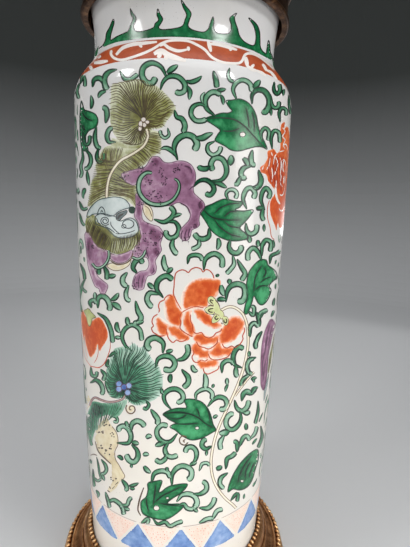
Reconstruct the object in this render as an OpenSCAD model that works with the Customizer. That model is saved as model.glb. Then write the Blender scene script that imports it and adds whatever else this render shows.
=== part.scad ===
// Rouleau vase: an enamelled porcelain cylinder with a waisted neck, bolted to a beaded bronze
// socle and topped by a bronze collar that lifts straight off.
// Millimetres, +Z up, origin at the centre of the underside.

/* [Porcelain body] */
// Outer radius of the foot ring
foot_r = 69.2; // [66:0.1:72]
// Width of the foot ring
foot_ring_w = 8; // [6:0.5:12]
// Depth of the hollow inside the foot ring
foot_hollow = 6; // [4:0.5:8]
// Thickness of the porcelain floor
floor_t = 8; // [6:0.5:12]
// Radius of the hole drilled through the floor
drill_r = 6; // [5.5:0.1:8]
// Radius towards which the taper swells
belly_r = 78; // [76:0.1:79]
// Height of that swelling above the foot
belly_h = 124; // [100:1:150]
// Greatest outer radius of the body
body_r = 80; // [79.5:0.1:84]
// Height of the tapering part of the body
taper_h = 319; // [290:1:340]
// Height of the straight band above the taper
straight_h = 26; // [16:1:40]
// Length over which the shoulder's corner is rounded
shoulder_round = 10; // [6:0.5:14]
// Height of the sloping shoulder above its corner
shoulder_h = 17; // [15:0.5:22]
// Wall thickness of the porcelain
wall = 5.5; // [4.5:0.1:6]

/* [Porcelain neck] */
// Outer radius where the neck leaves the shoulder
neck_base_r = 66.8; // [65.5:0.1:68]
// Radius towards which the neck is waisted
waist_r = 63.2; // [62:0.1:65]
// Height of the waist above the shoulder
waist_h = 14; // [10:0.5:20]
// Outer radius of the rim
rim_r = 69; // [68.5:0.1:71]
// Height of the neck up to the round of the rim
neck_h = 41.25; // [36:0.25:50]

/* [Socle] */
// Thickness of the felt pad under the plinth
felt_t = 1.5; // [1:0.1:3]
// Height of the plinth casting
plinth_h = 14.9; // [13.5:0.1:20]
// Height of the straight band at the plinth's foot
plinth_band_h = 5; // [3:0.5:7]
// How far that band stands out past the plinth's top edge
plinth_spread = 2.6; // [1.5:0.1:5]
// Rim of the plinth that shows outside the outer beads
plinth_edge = 0.9; // [0.5:0.1:2]
// Width of the plinth's standing ring
plinth_wall = 14; // [10:0.5:18]
// Thickness of the web at the top of the plinth
plinth_web_t = 4; // [3:0.1:5]
// Inner radius of that web
plinth_web_r = 60; // [55:0.5:64]
// Height of the moulded ring from the plinth to the inner beads
moulding_h = 19.8; // [18.5:0.1:26]
// Distance between the two bead rows, measured outwards
moulding_run = 17.9; // [16.5:0.1:24]
// Upright face of the moulded ring behind the outer beads
upright_h = 4.6; // [3.5:0.1:6]
// Radius of the two thin raised fillets
fillet_r = 0.9; // [0.5:0.1:1.1]
// Width of the hollow between the fillets
scotia_run = 6.2; // [5:0.1:7]
// Rise of the hollow between the fillets
scotia_rise = 6.6; // [5:0.1:7.5]
// Width of the ledge that carries the seat plate
ledge_w = 8; // [5:0.5:10]
// Depth of the porcelain foot in the moulded ring
seat_depth = 10.2; // [8:0.1:11.5]
// Thickness of the seat plate
seat_plate_t = 4; // [3:0.1:5]
// Thickness of the cork ring under the foot
cork_t = 1.5; // [1:0.1:2]

/* [Bead rows] */
// Radius of a bead in the outer row
outer_bead_r = 2.1; // [1.6:0.05:2.2]
// Beads in the outer row
outer_beads = 115; // [90:1:120]
// Radius of a bead in the inner row
inner_bead_r = 1.8; // [1.5:0.05:1.95]
// Beads in the inner row
inner_beads = 100; // [80:1:104]
// Thickness of the strip that carries the beads
strip_t = 1.1; // [0.8:0.1:1.4]
// Width of the strip that carries the beads
strip_w = 2.4; // [1.8:0.1:3]

/* [Base bolt] */
// Radius of the bolt's shank
bolt_r = 4; // [3:0.1:4.5]
// Width across the flats of the bolt head and nut
hex_flats = 13; // [11:0.5:15]
// Thickness of the bolt head
head_t = 5.3; // [4:0.1:7]
// Thickness of the thin nut
nut_t = 4; // [3:0.1:4.2]
// Length of bolt past the nut
bolt_tail = 1; // [0.5:0.1:1.5]
// Radius of the leather washer
leather_r = 17; // [14:0.5:22]
// Thickness of the leather washer
leather_t = 2; // [1.5:0.1:3]
// Radius of the brass washer
brass_r = 14; // [11:0.5:17]
// Thickness of the brass washer
brass_t = 1.5; // [1:0.1:2]
// Radius of the plain washer under the clamp bar
plain_r = 8.5; // [8:0.5:11]
// Thickness of the plain washer
plain_t = 1.6; // [1:0.1:2]
// Width of the clamp bar
bar_w = 26; // [20:1:34]
// Thickness of the clamp bar
bar_t = 3; // [2:0.1:3.2]

/* [Collar] */
// Thickness of the leather ring on the porcelain rim
cushion_t = 1.2; // [0.8:0.1:2]
// Width of that leather ring
cushion_w = 4; // [3:0.1:5]
// How far the collar reaches down over the neck
collar_drop = 15.1; // [12:0.1:20]
// Room between the porcelain rim and the collar
collar_room = 1.2; // [0.8:0.1:2]
// Wall of the collar at its lower lip
lip_wall = 5; // [4.2:0.1:6]
// Radius of the round on that lip
lip_round = 1.8; // [1.2:0.1:2]
// Wall of the collar above the lip
collar_wall = 3.5; // [3:0.1:4]
// How far the top edge flares past the collar's waist
collar_flare = 3.6; // [2:0.1:6]
// Height of the collar above its web
crown_h = 9; // [7:0.1:14]
// Height of the rounded band along the top edge
crown_band_h = 4; // [3:0.1:5]
// Thickness of the collar's web
web_t = 3.5; // [3:0.1:5]
// Wall of the brass liner
liner_wall = 1.5; // [1.2:0.1:2]
// How far the liner reaches down below the web
liner_drop = 22; // [10:1:30]
// Width of the liner's flange
flange_w = 7.5; // [7:0.1:8.5]
// Thickness of the liner's flange
flange_t = 1.2; // [0.8:0.1:2]

/* [Liner screws] */
// Screws that hold the liner
screws = 4; // [3:1:8]
// Radius of a screw's shank
screw_r = 1.5; // [1:0.1:1.6]
// Radius of a screw's head
screw_head_r = 2.7; // [2.4:0.1:2.9]
// Height of a screw's head
screw_head_h = 1.8; // [1.4:0.1:2.4]
// Length of a screw below its head
screw_len = 4; // [3:0.1:4.2]
// Width of the slot in a screw's head
slot_w = 0.8; // [0.6:0.1:1]
// Depth of the slot in a screw's head
slot_d = 0.8; // [0.5:0.1:1]

/* [Clearances] */
// Round the bolt and the screws
bolt_clear = 0.05; // [0.02:0.01:0.1]
// Between a bead row and the face beside it
bead_clear = 0.4; // [0.3:0.05:0.6]
// Round the porcelain foot in the moulded ring
foot_clear = 0.7; // [0.4:0.05:1]
// Round the seat plate, the clamp bar and the cork
plate_clear = 0.4; // [0.3:0.05:0.8]
// Between the resting leather and the rim
rest_clear = 0.3; // [0.2:0.05:0.4]
// Between the liner and the neck's narrowest part
liner_clear = 0.8; // [0.5:0.1:1.5]

/* [Hidden] */
$fn = 96;
bead_fn = 24;
curve_steps = 20;
round_steps = 8;
arc_steps = 10;
cut = 1;

// Heights, from the underside up
plinth_top_z = felt_t + plinth_h;
web_under_z = plinth_top_z - plinth_web_t;
bead_land_z = plinth_top_z + moulding_h;
foot_z = bead_land_z - seat_depth;
seat_top_z = foot_z - cork_t;
ledge_z = seat_top_z - seat_plate_t;
floor_z = foot_z + foot_hollow + floor_t;
full_z = foot_z + taper_h;
corner_z = full_z + straight_h + shoulder_round;
neck_z = corner_z + shoulder_h;
rim_z = neck_z + neck_h;
rim_round = wall / 2;
rim_top_z = rim_z + rim_round;
cushion_z = rim_top_z + rest_clear;
web_z = cushion_z + cushion_t;
web_top_z = web_z + web_t;
collar_top_z = web_top_z + crown_h;
collar_foot_z = web_z - collar_drop;

// A quadratic curve from p0 to p2, drawn towards p1
function curve(p0, p1, p2, n) =
  [for (i = [0:n]) let(t = i / n) (1 - t) * (1 - t) * p0 + 2 * t * (1 - t) * p1 + t * t * p2];
// Points on an arc about c, from angle a0 to a1
function arc(c, r, a0, a1) =
  [for (i = [0:arc_steps]) let(a = a0 + (a1 - a0) * i / arc_steps) c + r * [cos(a), sin(a)]];
function inwards(points, d) = [for (p = points) [p[0] - d, p[1]]];
function backwards(points) = [for (i = [len(points) - 1:-1:0]) points[i]];

// Outer radius of the porcelain's taper at height z
taper_bend = taper_h - 2 * belly_h;
function taper_t(z) =
  2 * (z - foot_z) / (2 * belly_h + sqrt(4 * belly_h * belly_h + 4 * taper_bend * (z - foot_z)));
function taper_r(z) =
  let(t = taper_t(z)) (1 - t) * (1 - t) * foot_r + 2 * t * (1 - t) * belly_r + t * t * body_r;

// The porcelain's outer line from the foot to the rim
shoulder_slope = [neck_base_r - body_r, shoulder_h] / norm([neck_base_r - body_r, shoulder_h]);
taper_line = curve([foot_r, foot_z], [belly_r, foot_z + belly_h], [body_r, full_z], curve_steps);
corner = [body_r, corner_z];
shoulder_line = curve(corner - [0, shoulder_round], corner, corner + shoulder_round * shoulder_slope,
                      round_steps);
neck_line = curve([neck_base_r, neck_z], [waist_r, neck_z + waist_h], [rim_r, rim_z], round_steps);
neck_pull = neck_base_r - waist_r;
neck_narrow_r = neck_base_r - neck_pull * neck_pull / (neck_pull + rim_r - waist_r);
floor_round = 2 * wall;
inner_taper = [for (p = taper_line) if (p[1] > floor_z + floor_round) p];
inner_line = inwards(concat(inner_taper, shoulder_line, neck_line), wall);
floor_corner = [taper_r(floor_z) - wall, floor_z];
floor_line = curve(floor_corner - [floor_round, 0], floor_corner,
                   [taper_r(floor_z + floor_round) - wall, floor_z + floor_round], round_steps);

// Radii of the socle, from the porcelain outwards
recess_r = taper_r(bead_land_z) + foot_clear;
inner_row_r = taper_r(bead_land_z + inner_bead_r) + bead_clear + inner_bead_r;
outer_row_r = inner_row_r + moulding_run;
land_r = inner_row_r + inner_bead_r;
moulding_r = outer_row_r - outer_bead_r - bead_clear;
plinth_top_r = outer_row_r + outer_bead_r + plinth_edge;
plinth_r = plinth_top_r + plinth_spread;
plinth_in_r = plinth_r - plinth_wall;
ledge_r = recess_r - ledge_w;
seat_plate_r = recess_r - plate_clear;
cork_in_r = foot_r - foot_ring_w;
cork_r = foot_r - plate_clear;

// Stack on the base bolt
head_z = floor_z + leather_t + brass_t;
bar_z = web_under_z - bar_t;
nut_z = bar_z - plain_t - nut_t;
bolt_hole_r = bolt_r + bolt_clear;

// Radii of the collar, from the liner outwards
liner_r = neck_narrow_r - wall - liner_clear;
liner_in_r = liner_r - liner_wall;
flange_r = liner_r + flange_w;
screw_row_r = liner_r + flange_w / 2;
cushion_r = rim_r - rim_round + cushion_w / 2;
collar_in_r = rim_r + collar_room;
collar_lip_r = collar_in_r + lip_wall;
collar_waist_r = collar_in_r + collar_wall;
crown_r = collar_waist_r + collar_flare;
crown_round = crown_band_h / 2;

// A flat round plate or washer from z up, with a hole
module disc(r, hole_r, z, t) {
  translate([0, 0, z])
    difference() {
      cylinder(r = r, h = t);
      translate([0, 0, -cut]) cylinder(r = hole_r, h = t + 2 * cut);
    }
}

// A six-sided head or nut from z up
module hexagon(z, t) {
  translate([0, 0, z]) cylinder(d = hex_flats / cos(30), h = t, $fn = 6);
}

// Beads soldered to a flat strip that stands on a land at height z
module bead_row(row_r, bead_r, count, z) {
  rotate_extrude()
    translate([row_r - strip_w / 2, z]) square([strip_w, strip_t]);
  for (i = [0:count - 1])
    rotate([0, 0, 360 * i / count])
      translate([row_r, 0, z + bead_r]) sphere(r = bead_r, $fn = bead_fn);
}

// Soft pad that closes the socle and keeps the plinth off the table
module felt_pad() {
  color("darkolivegreen")
    cylinder(r = plinth_r - plate_clear, h = felt_t);
}

// Lowest casting: a standing ring with a coved side and a web across its top
module plinth_ring() {
  band_z = felt_t + plinth_band_h;
  cove = curve([plinth_r - plinth_edge, band_z], [plinth_top_r, band_z],
               [plinth_top_r, web_under_z], round_steps);
  color("saddlebrown")
    rotate_extrude()
      polygon(concat(
        [[plinth_in_r, felt_t], [plinth_r, felt_t], [plinth_r, band_z]],
        cove,
        [[plinth_top_r, plinth_top_z], [plinth_web_r, plinth_top_z], [plinth_web_r, web_under_z],
         [plinth_in_r, web_under_z]]));
}

// Outer row of beads, standing on the plinth
module outer_bead_row() {
  color("peru") bead_row(outer_row_r, outer_bead_r, outer_beads, plinth_top_z);
}

// Upper casting: two raised fillets with a hollow between them and a swelling above
module moulded_ring() {
  low = [moulding_r - fillet_r, plinth_top_z + upright_h];
  high = low + [-scotia_run - 2 * fillet_r, scotia_rise + fillet_r];
  hollow = curve(low + [-fillet_r, 0], [high[0] + fillet_r, low[1]], high + [fillet_r, 0], round_steps);
  swelling = curve(high + [-fillet_r, 0], [high[0] - fillet_r, bead_land_z], [land_r, bead_land_z],
                   round_steps);
  color("saddlebrown")
    rotate_extrude()
      polygon(concat(
        [[ledge_r, plinth_top_z], [moulding_r, plinth_top_z]],
        arc(low, fillet_r, 0, 180),
        hollow,
        arc(high, fillet_r, 0, 180),
        swelling,
        [[recess_r, bead_land_z], [recess_r, ledge_z], [ledge_r, ledge_z]]));
}

// Inner row of beads, round the porcelain's foot
module inner_bead_row() {
  color("peru") bead_row(inner_row_r, inner_bead_r, inner_beads, bead_land_z);
}

// Plate inside the moulded ring that carries the porcelain
module seat_plate() {
  color("goldenrod") disc(seat_plate_r, bolt_hole_r, ledge_z, seat_plate_t);
}

// Cork between the seat plate and the foot ring
module cork_ring() {
  color("burlywood") disc(cork_r, cork_in_r, seat_top_z, cork_t);
}

// The porcelain, thrown hollow, with a drilled floor
module vase_body() {
  lip = arc([rim_r - rim_round, rim_z], rim_round, 0, 180);
  color("ivory")
    rotate_extrude()
      polygon(concat(
        [[drill_r, foot_z + foot_hollow], [cork_in_r, foot_z + foot_hollow], [cork_in_r, foot_z]],
        taper_line, shoulder_line, neck_line,
        lip,
        backwards(inner_line), backwards(floor_line),
        [[drill_r, floor_z]]));
}

// Leather washer on the porcelain floor
module leather_washer() {
  color("sienna") disc(leather_r, bolt_hole_r, floor_z, leather_t);
}

// Brass washer that spreads the bolt's pull
module brass_washer() {
  color("gold") disc(brass_r, bolt_hole_r, floor_z + leather_t, brass_t);
}

// Bolt from inside the vase down through the socle
module base_bolt() {
  tail_z = nut_z - bolt_tail;
  color("silver") {
    hexagon(head_z, head_t);
    translate([0, 0, tail_z]) cylinder(r = bolt_r, h = head_z - tail_z);
  }
}

// Bar across the plinth that the nut pulls up against the web
module clamp_bar() {
  bar_r = plinth_in_r - plate_clear;
  color("dimgray")
    translate([0, 0, bar_z])
      difference() {
        intersection() {
          cylinder(r = bar_r, h = bar_t);
          translate([-bar_r, -bar_w / 2, -cut]) cube([2 * bar_r, bar_w, bar_t + 2 * cut]);
        }
        translate([0, 0, -cut]) cylinder(r = bolt_hole_r, h = bar_t + 2 * cut);
      }
}

// Washer between the bar and the nut
module plain_washer() {
  color("silver") disc(plain_r, bolt_hole_r, bar_z - plain_t, plain_t);
}

// Thin nut under the clamp bar
module base_nut() {
  color("silver")
    difference() {
      hexagon(nut_z, nut_t);
      translate([0, 0, nut_z - cut]) cylinder(r = bolt_hole_r, h = nut_t + 2 * cut);
    }
}

// Bronze collar: a lipped skirt round the rim, a web over it and a flared crown
module collar() {
  lip_centre = [collar_lip_r - lip_round, collar_foot_z + lip_round];
  flare_z = collar_top_z - crown_band_h;
  flare = curve([collar_waist_r, web_z], [collar_waist_r, flare_z], [crown_r - crown_round, flare_z],
                round_steps);
  color("saddlebrown")
    difference() {
      rotate_extrude()
        polygon(concat(
          [[collar_in_r, collar_foot_z]],
          arc(lip_centre, lip_round, -90, 90),
          flare,
          arc([crown_r - crown_round, collar_top_z - crown_round], crown_round, -90, 90),
          [[collar_in_r, collar_top_z], [collar_in_r, web_top_z], [liner_r + bolt_clear, web_top_z],
           [liner_r + bolt_clear, web_z], [collar_in_r, web_z]]));
      at_screws(web_z - cut) cylinder(r = screw_r + bolt_clear, h = web_t + 2 * cut);
    }
}

// Children at each liner screw
module at_screws(z) {
  for (i = [0:screws - 1])
    rotate([0, 0, 360 * (i + 0.5) / screws]) translate([screw_row_r, 0, z]) children();
}

// Brass sleeve in the mouth, hung from its flange
module collar_liner() {
  color("goldenrod")
    difference() {
      rotate_extrude()
        polygon([
          [liner_in_r, web_z - liner_drop], [liner_r, web_z - liner_drop], [liner_r, web_top_z],
          [flange_r, web_top_z], [flange_r, web_top_z + flange_t], [liner_in_r, web_top_z + flange_t]
        ]);
      at_screws(web_top_z - cut) cylinder(r = screw_r + bolt_clear, h = flange_t + 2 * cut);
    }
}

// Leather ring under the web, which rests on the porcelain rim
module collar_cushion() {
  color("sienna") disc(cushion_r, cushion_r - cushion_w, cushion_z, cushion_t);
}

// Slotted screws through the flange into the web
module liner_screws() {
  head_z = web_top_z + flange_t;
  color("gold")
    at_screws(head_z)
      difference() {
        union() {
          cylinder(r = screw_head_r, h = screw_head_h);
          translate([0, 0, -screw_len]) cylinder(r = screw_r, h = screw_len + screw_head_h / 2);
        }
        translate([-screw_head_r - cut, -slot_w / 2, screw_head_h - slot_d])
          cube([2 * (screw_head_r + cut), slot_w, slot_d + cut]);
      }
}

felt_pad();
plinth_ring();
outer_bead_row();
moulded_ring();
inner_bead_row();
seat_plate();
cork_ring();
vase_body();
leather_washer();
brass_washer();
base_bolt();
clamp_bar();
plain_washer();
base_nut();
collar();
collar_liner();
collar_cushion();
liner_screws();
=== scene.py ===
# %% [markdown]
# # A painted rouleau vase in bronze mounts
# The real object is a tall porcelain jar, painted over its glaze with lions, peonies and leafy
# scrolls, and held between a cast bronze socle and a bronze collar.
# The CAD frame already holds every solid at its real size. This notebook dresses that frame:
# it turns the visible round pieces again with finer sections, paints the porcelain, and lights it.
# Everything is in metres in the frame's own place, so nothing is fitted by eye.

# %% Load the frame
import math

import bmesh
import bpy
import numpy as np
from mathutils import Matrix, Vector
from mathutils.geometry import delaunay_2d_cdt


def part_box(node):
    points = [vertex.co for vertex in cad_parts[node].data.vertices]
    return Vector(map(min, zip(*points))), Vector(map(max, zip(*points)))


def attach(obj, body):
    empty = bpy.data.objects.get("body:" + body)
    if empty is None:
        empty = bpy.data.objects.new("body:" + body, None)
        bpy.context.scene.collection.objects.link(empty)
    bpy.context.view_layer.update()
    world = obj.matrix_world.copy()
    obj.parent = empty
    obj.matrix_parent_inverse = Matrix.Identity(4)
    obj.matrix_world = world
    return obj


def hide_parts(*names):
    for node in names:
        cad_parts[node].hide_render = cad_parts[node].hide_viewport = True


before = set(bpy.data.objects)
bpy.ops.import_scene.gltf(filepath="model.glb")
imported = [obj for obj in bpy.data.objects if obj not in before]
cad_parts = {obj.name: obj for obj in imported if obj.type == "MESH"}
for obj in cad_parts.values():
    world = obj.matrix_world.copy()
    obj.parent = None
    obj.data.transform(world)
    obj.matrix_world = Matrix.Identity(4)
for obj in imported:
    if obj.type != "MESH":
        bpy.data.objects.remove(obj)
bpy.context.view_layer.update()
scene = bpy.context.scene
MM = 0.001

# %% [markdown]
# ## The camera
# The picture was taken from close by, a little above the middle of the vase and looking slightly
# down, so the straight sides lean and the shoulder bows. The eye point and the tilt were worked out
# once from the outline of the vase. They are kept as numbers here because the painting below uses
# them too: a brush stroke is written down where it is seen in the picture, and the same rays carry
# it on to the porcelain.

# %% Camera at the picture's viewing angle
IMAGE_SIZE = np.array((410.0, 547.0))
FOCAL_PX = 411.0
SENSOR_MM = 36.0
EYE = np.array((0.0, -328.6, 295.68)) * MM
YAW, PITCH, ROLL = (math.radians(a) for a in (3.405, -8.295, 1.729))

look = np.array((math.sin(YAW) * math.cos(PITCH), math.cos(YAW) * math.cos(PITCH), math.sin(PITCH)))
level = np.array((math.cos(YAW), -math.sin(YAW), 0.0))
over = np.cross(level, look)
right = math.cos(ROLL) * level + math.sin(ROLL) * over
up = -math.sin(ROLL) * level + math.cos(ROLL) * over

camera = bpy.data.objects.new("camera", bpy.data.cameras.new("camera"))
camera.data.sensor_width = SENSOR_MM
camera.data.lens = SENSOR_MM * FOCAL_PX / IMAGE_SIZE.max()
camera.data.clip_start, camera.data.clip_end = 0.01, 20.0
camera.matrix_world = Matrix([*np.column_stack((right, up, -look, EYE)).tolist(), (0, 0, 0, 1)])
scene.collection.objects.link(camera)
scene.camera = camera
print("lens in mm:", round(camera.data.lens, 2))

# %% [markdown]
# ## Helpers for node trees
# Geometry trees and shader trees are wired in the same way: add a node, then give each of its
# inputs either a fixed value or the output of an earlier node. The same helpers do that for both,
# so each tree below reads from top to bottom like a recipe.

# %% Node helpers
def fill(tree, node, inputs):
    """Fills a node's inputs: a socket is linked, anything else is set as its value."""
    for key, value in inputs.items():
        if isinstance(value, bpy.types.NodeSocket):
            tree.links.new(value, node.inputs[key])
        else:
            node.inputs[key].default_value = value


def put(tree, kind, inputs=None, **settings):
    """Adds a node with its settings and inputs, and gives its outputs."""
    node = tree.nodes.new(kind)
    for key, value in settings.items():
        setattr(node, key, value)
    fill(tree, node, inputs or {})
    return node.outputs


def calc(tree, operation, *values):
    """A math node on one, two or three values; gives its output."""
    return put(tree, "ShaderNodeMath", dict(enumerate(values)), operation=operation)[0]


def axes(tree, vector):
    """The X, Y and Z of a vector."""
    return put(tree, "ShaderNodeSeparateXYZ", {0: vector})


def new_group(name, kind, inputs, outputs):
    """A node group with named sockets, and its input and output nodes."""
    tree = bpy.data.node_groups.new(name, kind)
    for label, socket, *default in inputs:
        made = tree.interface.new_socket(label, in_out="INPUT", socket_type="NodeSocket" + socket)
        if default:
            made.default_value = default[0]
    for label, socket in outputs:
        tree.interface.new_socket(label, in_out="OUTPUT", socket_type="NodeSocket" + socket)
    return tree, tree.nodes.new("NodeGroupInput").outputs, tree.nodes.new("NodeGroupOutput")


def end_tree(tree, shape, finish, way_out):
    """Ends a geometry tree: instances become real faces and take the finish."""
    real = put(tree, "GeometryNodeRealizeInstances", {"Geometry": shape})[0]
    coated = put(tree, "GeometryNodeSetMaterial", {"Geometry": real, "Material": finish})[0]
    fill(tree, way_out, {0: coated})


print("node helpers ready")

# %% Object helpers
def apply_tree(obj, tree, **values):
    """Adds a geometry tree to an object and sets its inputs by socket identifier."""
    modifier = obj.modifiers.new(tree.name, "NODES")
    modifier.node_group = tree
    names = {s.name.replace(" ", "_"): s.identifier for s in tree.interface.items_tree
             if s.in_out == "INPUT"}
    for name, value in values.items():
        modifier[names[name]] = value


def settle(obj):
    """Turns what the object's modifiers make into its own plain mesh, and removes the modifiers."""
    bpy.context.view_layer.update()
    deps = bpy.context.evaluated_depsgraph_get()
    made = bpy.data.meshes.new_from_object(
        obj.evaluated_get(deps), preserve_all_data_layers=True, depsgraph=deps)
    obj.modifiers.clear()
    obj.data = made
    made.name = obj.name
    return obj


def mesh_object(name, points, edges=(), faces=()):
    """An object at the origin with the given mesh."""
    mesh = bpy.data.meshes.new(name)
    mesh.from_pydata([tuple(p) for p in points], list(edges), list(faces))
    obj = bpy.data.objects.new(name, mesh)
    scene.collection.objects.link(obj)
    return obj


print("object helpers ready")

# %% [markdown]
# ## Shared finishes
# Three effects come back in several materials, so each is a shader group with its own values.
# *Glaze skin* is the faint orange-peel swell of fired glaze, with a few dark specks of ash.
# *Enamel pool* goes from a thin to a deep colour where the brush left more of it: a tone painted on
# the mesh says where, and a soft noise breaks it up as wet enamel does.
# *Rubbed metal* is old gilt bronze: bright where hands and dusters reach, brown in the hollows.
# The groups only give colours, masks and heights; every shader stays in its own material.

# %% Shader helpers
def noise(tree, vector, scale, detail=3.0, roughness=0.55):
    """Noise over the object's own coordinates, as a value."""
    return put(tree, "ShaderNodeTexNoise", {"Vector": vector, "Scale": scale, "Detail": detail,
                                            "Roughness": roughness})["Fac"]


def spread(tree, value, low, high, to_low=0.0, to_high=1.0):
    """Maps a value from one range to another, held within it."""
    return put(tree, "ShaderNodeMapRange", {"Value": value, "From Min": low, "From Max": high,
                                            "To Min": to_low, "To Max": to_high})["Result"]


def blend_colour(tree, share, first, second):
    """Mixes two colours."""
    return put(tree, "ShaderNodeMix", {0: share, 6: first, 7: second}, data_type="RGBA")[2]


print("shader helpers ready")

# %% Glaze skin
tree, given, out = new_group(
    "glaze_skin", "ShaderNodeTree",
    [("Vector", "Vector"), ("Swell", "Float", 90.0), ("Speck", "Float", 420.0)],
    [("Height", "Float"), ("Specks", "Float")])
swell = noise(tree, given["Vector"], given["Swell"], 2.0)
cells = put(tree, "ShaderNodeTexVoronoi",
            {"Vector": given["Vector"], "Scale": given["Speck"]})["Distance"]
rare = noise(tree, given["Vector"], 37.0, 1.0)
specks = calc(tree, "MULTIPLY", spread(tree, cells, 0.16, 0.05), spread(tree, rare, 0.6, 0.68))
fill(tree, out, {"Height": swell, "Specks": specks})
glaze_skin = tree
print("shader group:", tree.name)

# %% Enamel pool
tree, given, out = new_group(
    "enamel_pool", "ShaderNodeTree",
    [("Vector", "Vector"), ("Thin", "Color"), ("Mid", "Color"), ("Deep", "Color"),
     ("Tone", "Float", 0.0), ("Unevenness", "Float", 0.3)],
    [("Color", "Color")])
blots, drift = (spread(tree, noise(tree, given["Vector"], scale, detail), 0.3, 0.7, -1.0, 1.0)
                for scale, detail in ((260.0, 4.0), (45.0, 2.0)))
uneven = calc(tree, "MULTIPLY", calc(tree, "ADD", blots, drift), given["Unevenness"])
depth = calc(tree, "ADD", given["Tone"], calc(tree, "MULTIPLY", uneven, 0.5))
depth = spread(tree, depth, 0.0, 1.0)
thinner = blend_colour(tree, spread(tree, depth, 0.0, 0.5), given["Thin"], given["Mid"])
fill(tree, out, {"Color": blend_colour(tree, spread(tree, depth, 0.5, 1.0), thinner, given["Deep"])})
enamel_pool = tree
print("shader group:", tree.name)

# %% Rubbed metal
tree, given, out = new_group(
    "rubbed_metal", "ShaderNodeTree",
    [("Vector", "Vector"), ("Wear", "Float", 0.5), ("Hollow", "Color"),
     ("Patina", "Color"), ("Rubbed", "Color")],
    [("Color", "Color"), ("Roughness", "Float"), ("Height", "Float")])
clouds = noise(tree, given["Vector"], 70.0, 5.0, 0.65)
grit = noise(tree, given["Vector"], 900.0, 3.0, 0.6)
pits = put(tree, "ShaderNodeTexVoronoi", {"Vector": given["Vector"], "Scale": 330.0})["Distance"]
bright = calc(tree, "ADD", given["Wear"], spread(tree, clouds, 0.3, 0.7, -0.35, 0.35))
bright = calc(tree, "ADD", bright, spread(tree, grit, 0.3, 0.7, -0.12, 0.12))
brown = blend_colour(tree, spread(tree, bright, 0.0, 0.5), given["Hollow"], given["Patina"])
pitted = calc(tree, "ADD", calc(tree, "MULTIPLY", grit, 0.5), spread(tree, pits, 0.0, 0.22, 0.0, 0.6))
fill(tree, out, {"Color": blend_colour(tree, spread(tree, bright, 0.5, 1.0), brown, given["Rubbed"]),
                 "Roughness": spread(tree, bright, 0.0, 1.0, 0.58, 0.27), "Height": pitted})
rubbed_metal = tree
print("shader group:", tree.name)

# %% Material helpers
def srgb(r, g, b):
    """A colour given as 0 to 255 on a screen, as the linear colour that shaders use."""
    return tuple(c / 12.92 if c <= 0.04045 else ((c + 0.055) / 1.055) ** 2.4
                 for c in (r / 255, g / 255, b / 255)) + (1.0,)


def new_material(name, **inputs):
    """A material with its node tree, its shader and the object's own coordinates."""
    made = bpy.data.materials.new(name)
    made.use_nodes = True
    tree = made.node_tree
    shader = tree.nodes["Principled BSDF"]
    fill(tree, shader, inputs)
    return made, tree, shader, put(tree, "ShaderNodeTexCoord")["Object"]


def use_group(tree, group, inputs):
    """Places a shader group in a material and gives its outputs."""
    return put(tree, "ShaderNodeGroup", inputs, node_tree=group)


def bumped(tree, height, strength, distance):
    """A height, as a normal for the shader."""
    return put(tree, "ShaderNodeBump",
               {"Height": height, "Strength": strength, "Distance": distance})["Normal"]


def attribute(tree, name):
    """A value painted on the mesh."""
    return put(tree, "ShaderNodeAttribute", attribute_name=name)["Fac"]


print("material helpers ready")

# %% Metal and enamel
def metal_finish(name, hollow, patina, rubbed, wear=None):
    """A metal that is dark in its hollows and bright where it is rubbed."""
    made, tree, shader, place = new_material(name, Metallic=1.0)
    outs = use_group(tree, rubbed_metal, {
        "Vector": place, "Hollow": srgb(*hollow), "Patina": srgb(*patina), "Rubbed": srgb(*rubbed),
        "Wear": attribute(tree, "wear") if wear is None else wear})
    fill(tree, shader, {"Base Color": outs["Color"], "Roughness": outs["Roughness"],
                        "Normal": bumped(tree, outs["Height"], 0.12, 0.4 * MM)})
    return made


def enamel_finish(name, thin, mid, deep, uneven=0.3, roughness=0.2):
    """An overglaze enamel: thin and pale in places, deep where it pooled."""
    made, tree, shader, place = new_material(name, Roughness=roughness)
    colour = use_group(tree, enamel_pool, {
        "Vector": place, "Thin": srgb(*thin), "Mid": srgb(*mid), "Deep": srgb(*deep),
        "Tone": attribute(tree, "tone"), "Unevenness": uneven})["Color"]
    skin = use_group(tree, glaze_skin, {"Vector": place, "Swell": 150.0})
    fill(tree, shader, {"Base Color": colour, "Normal": bumped(tree, skin["Height"], 0.05, 0.3 * MM)})
    return made


print("finishes ready")

# %% [markdown]
# ## Turned pieces
# Almost everything here was thrown on a wheel or turned on a lathe, so one geometry tree makes all
# of it: a section drawn on edge is swept round a circle. The section is drawn with radius along X
# and height along Z; the tree lays it flat, turns it into a curve and sweeps it.
# A value called *wear* may be painted on the section's points. The sweep carries it round, so the
# metal finish knows an exposed edge from a hollow.

# %% Lathe tree
LATHE_STEPS = 256
LATHE_CORE = 10 * MM

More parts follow.
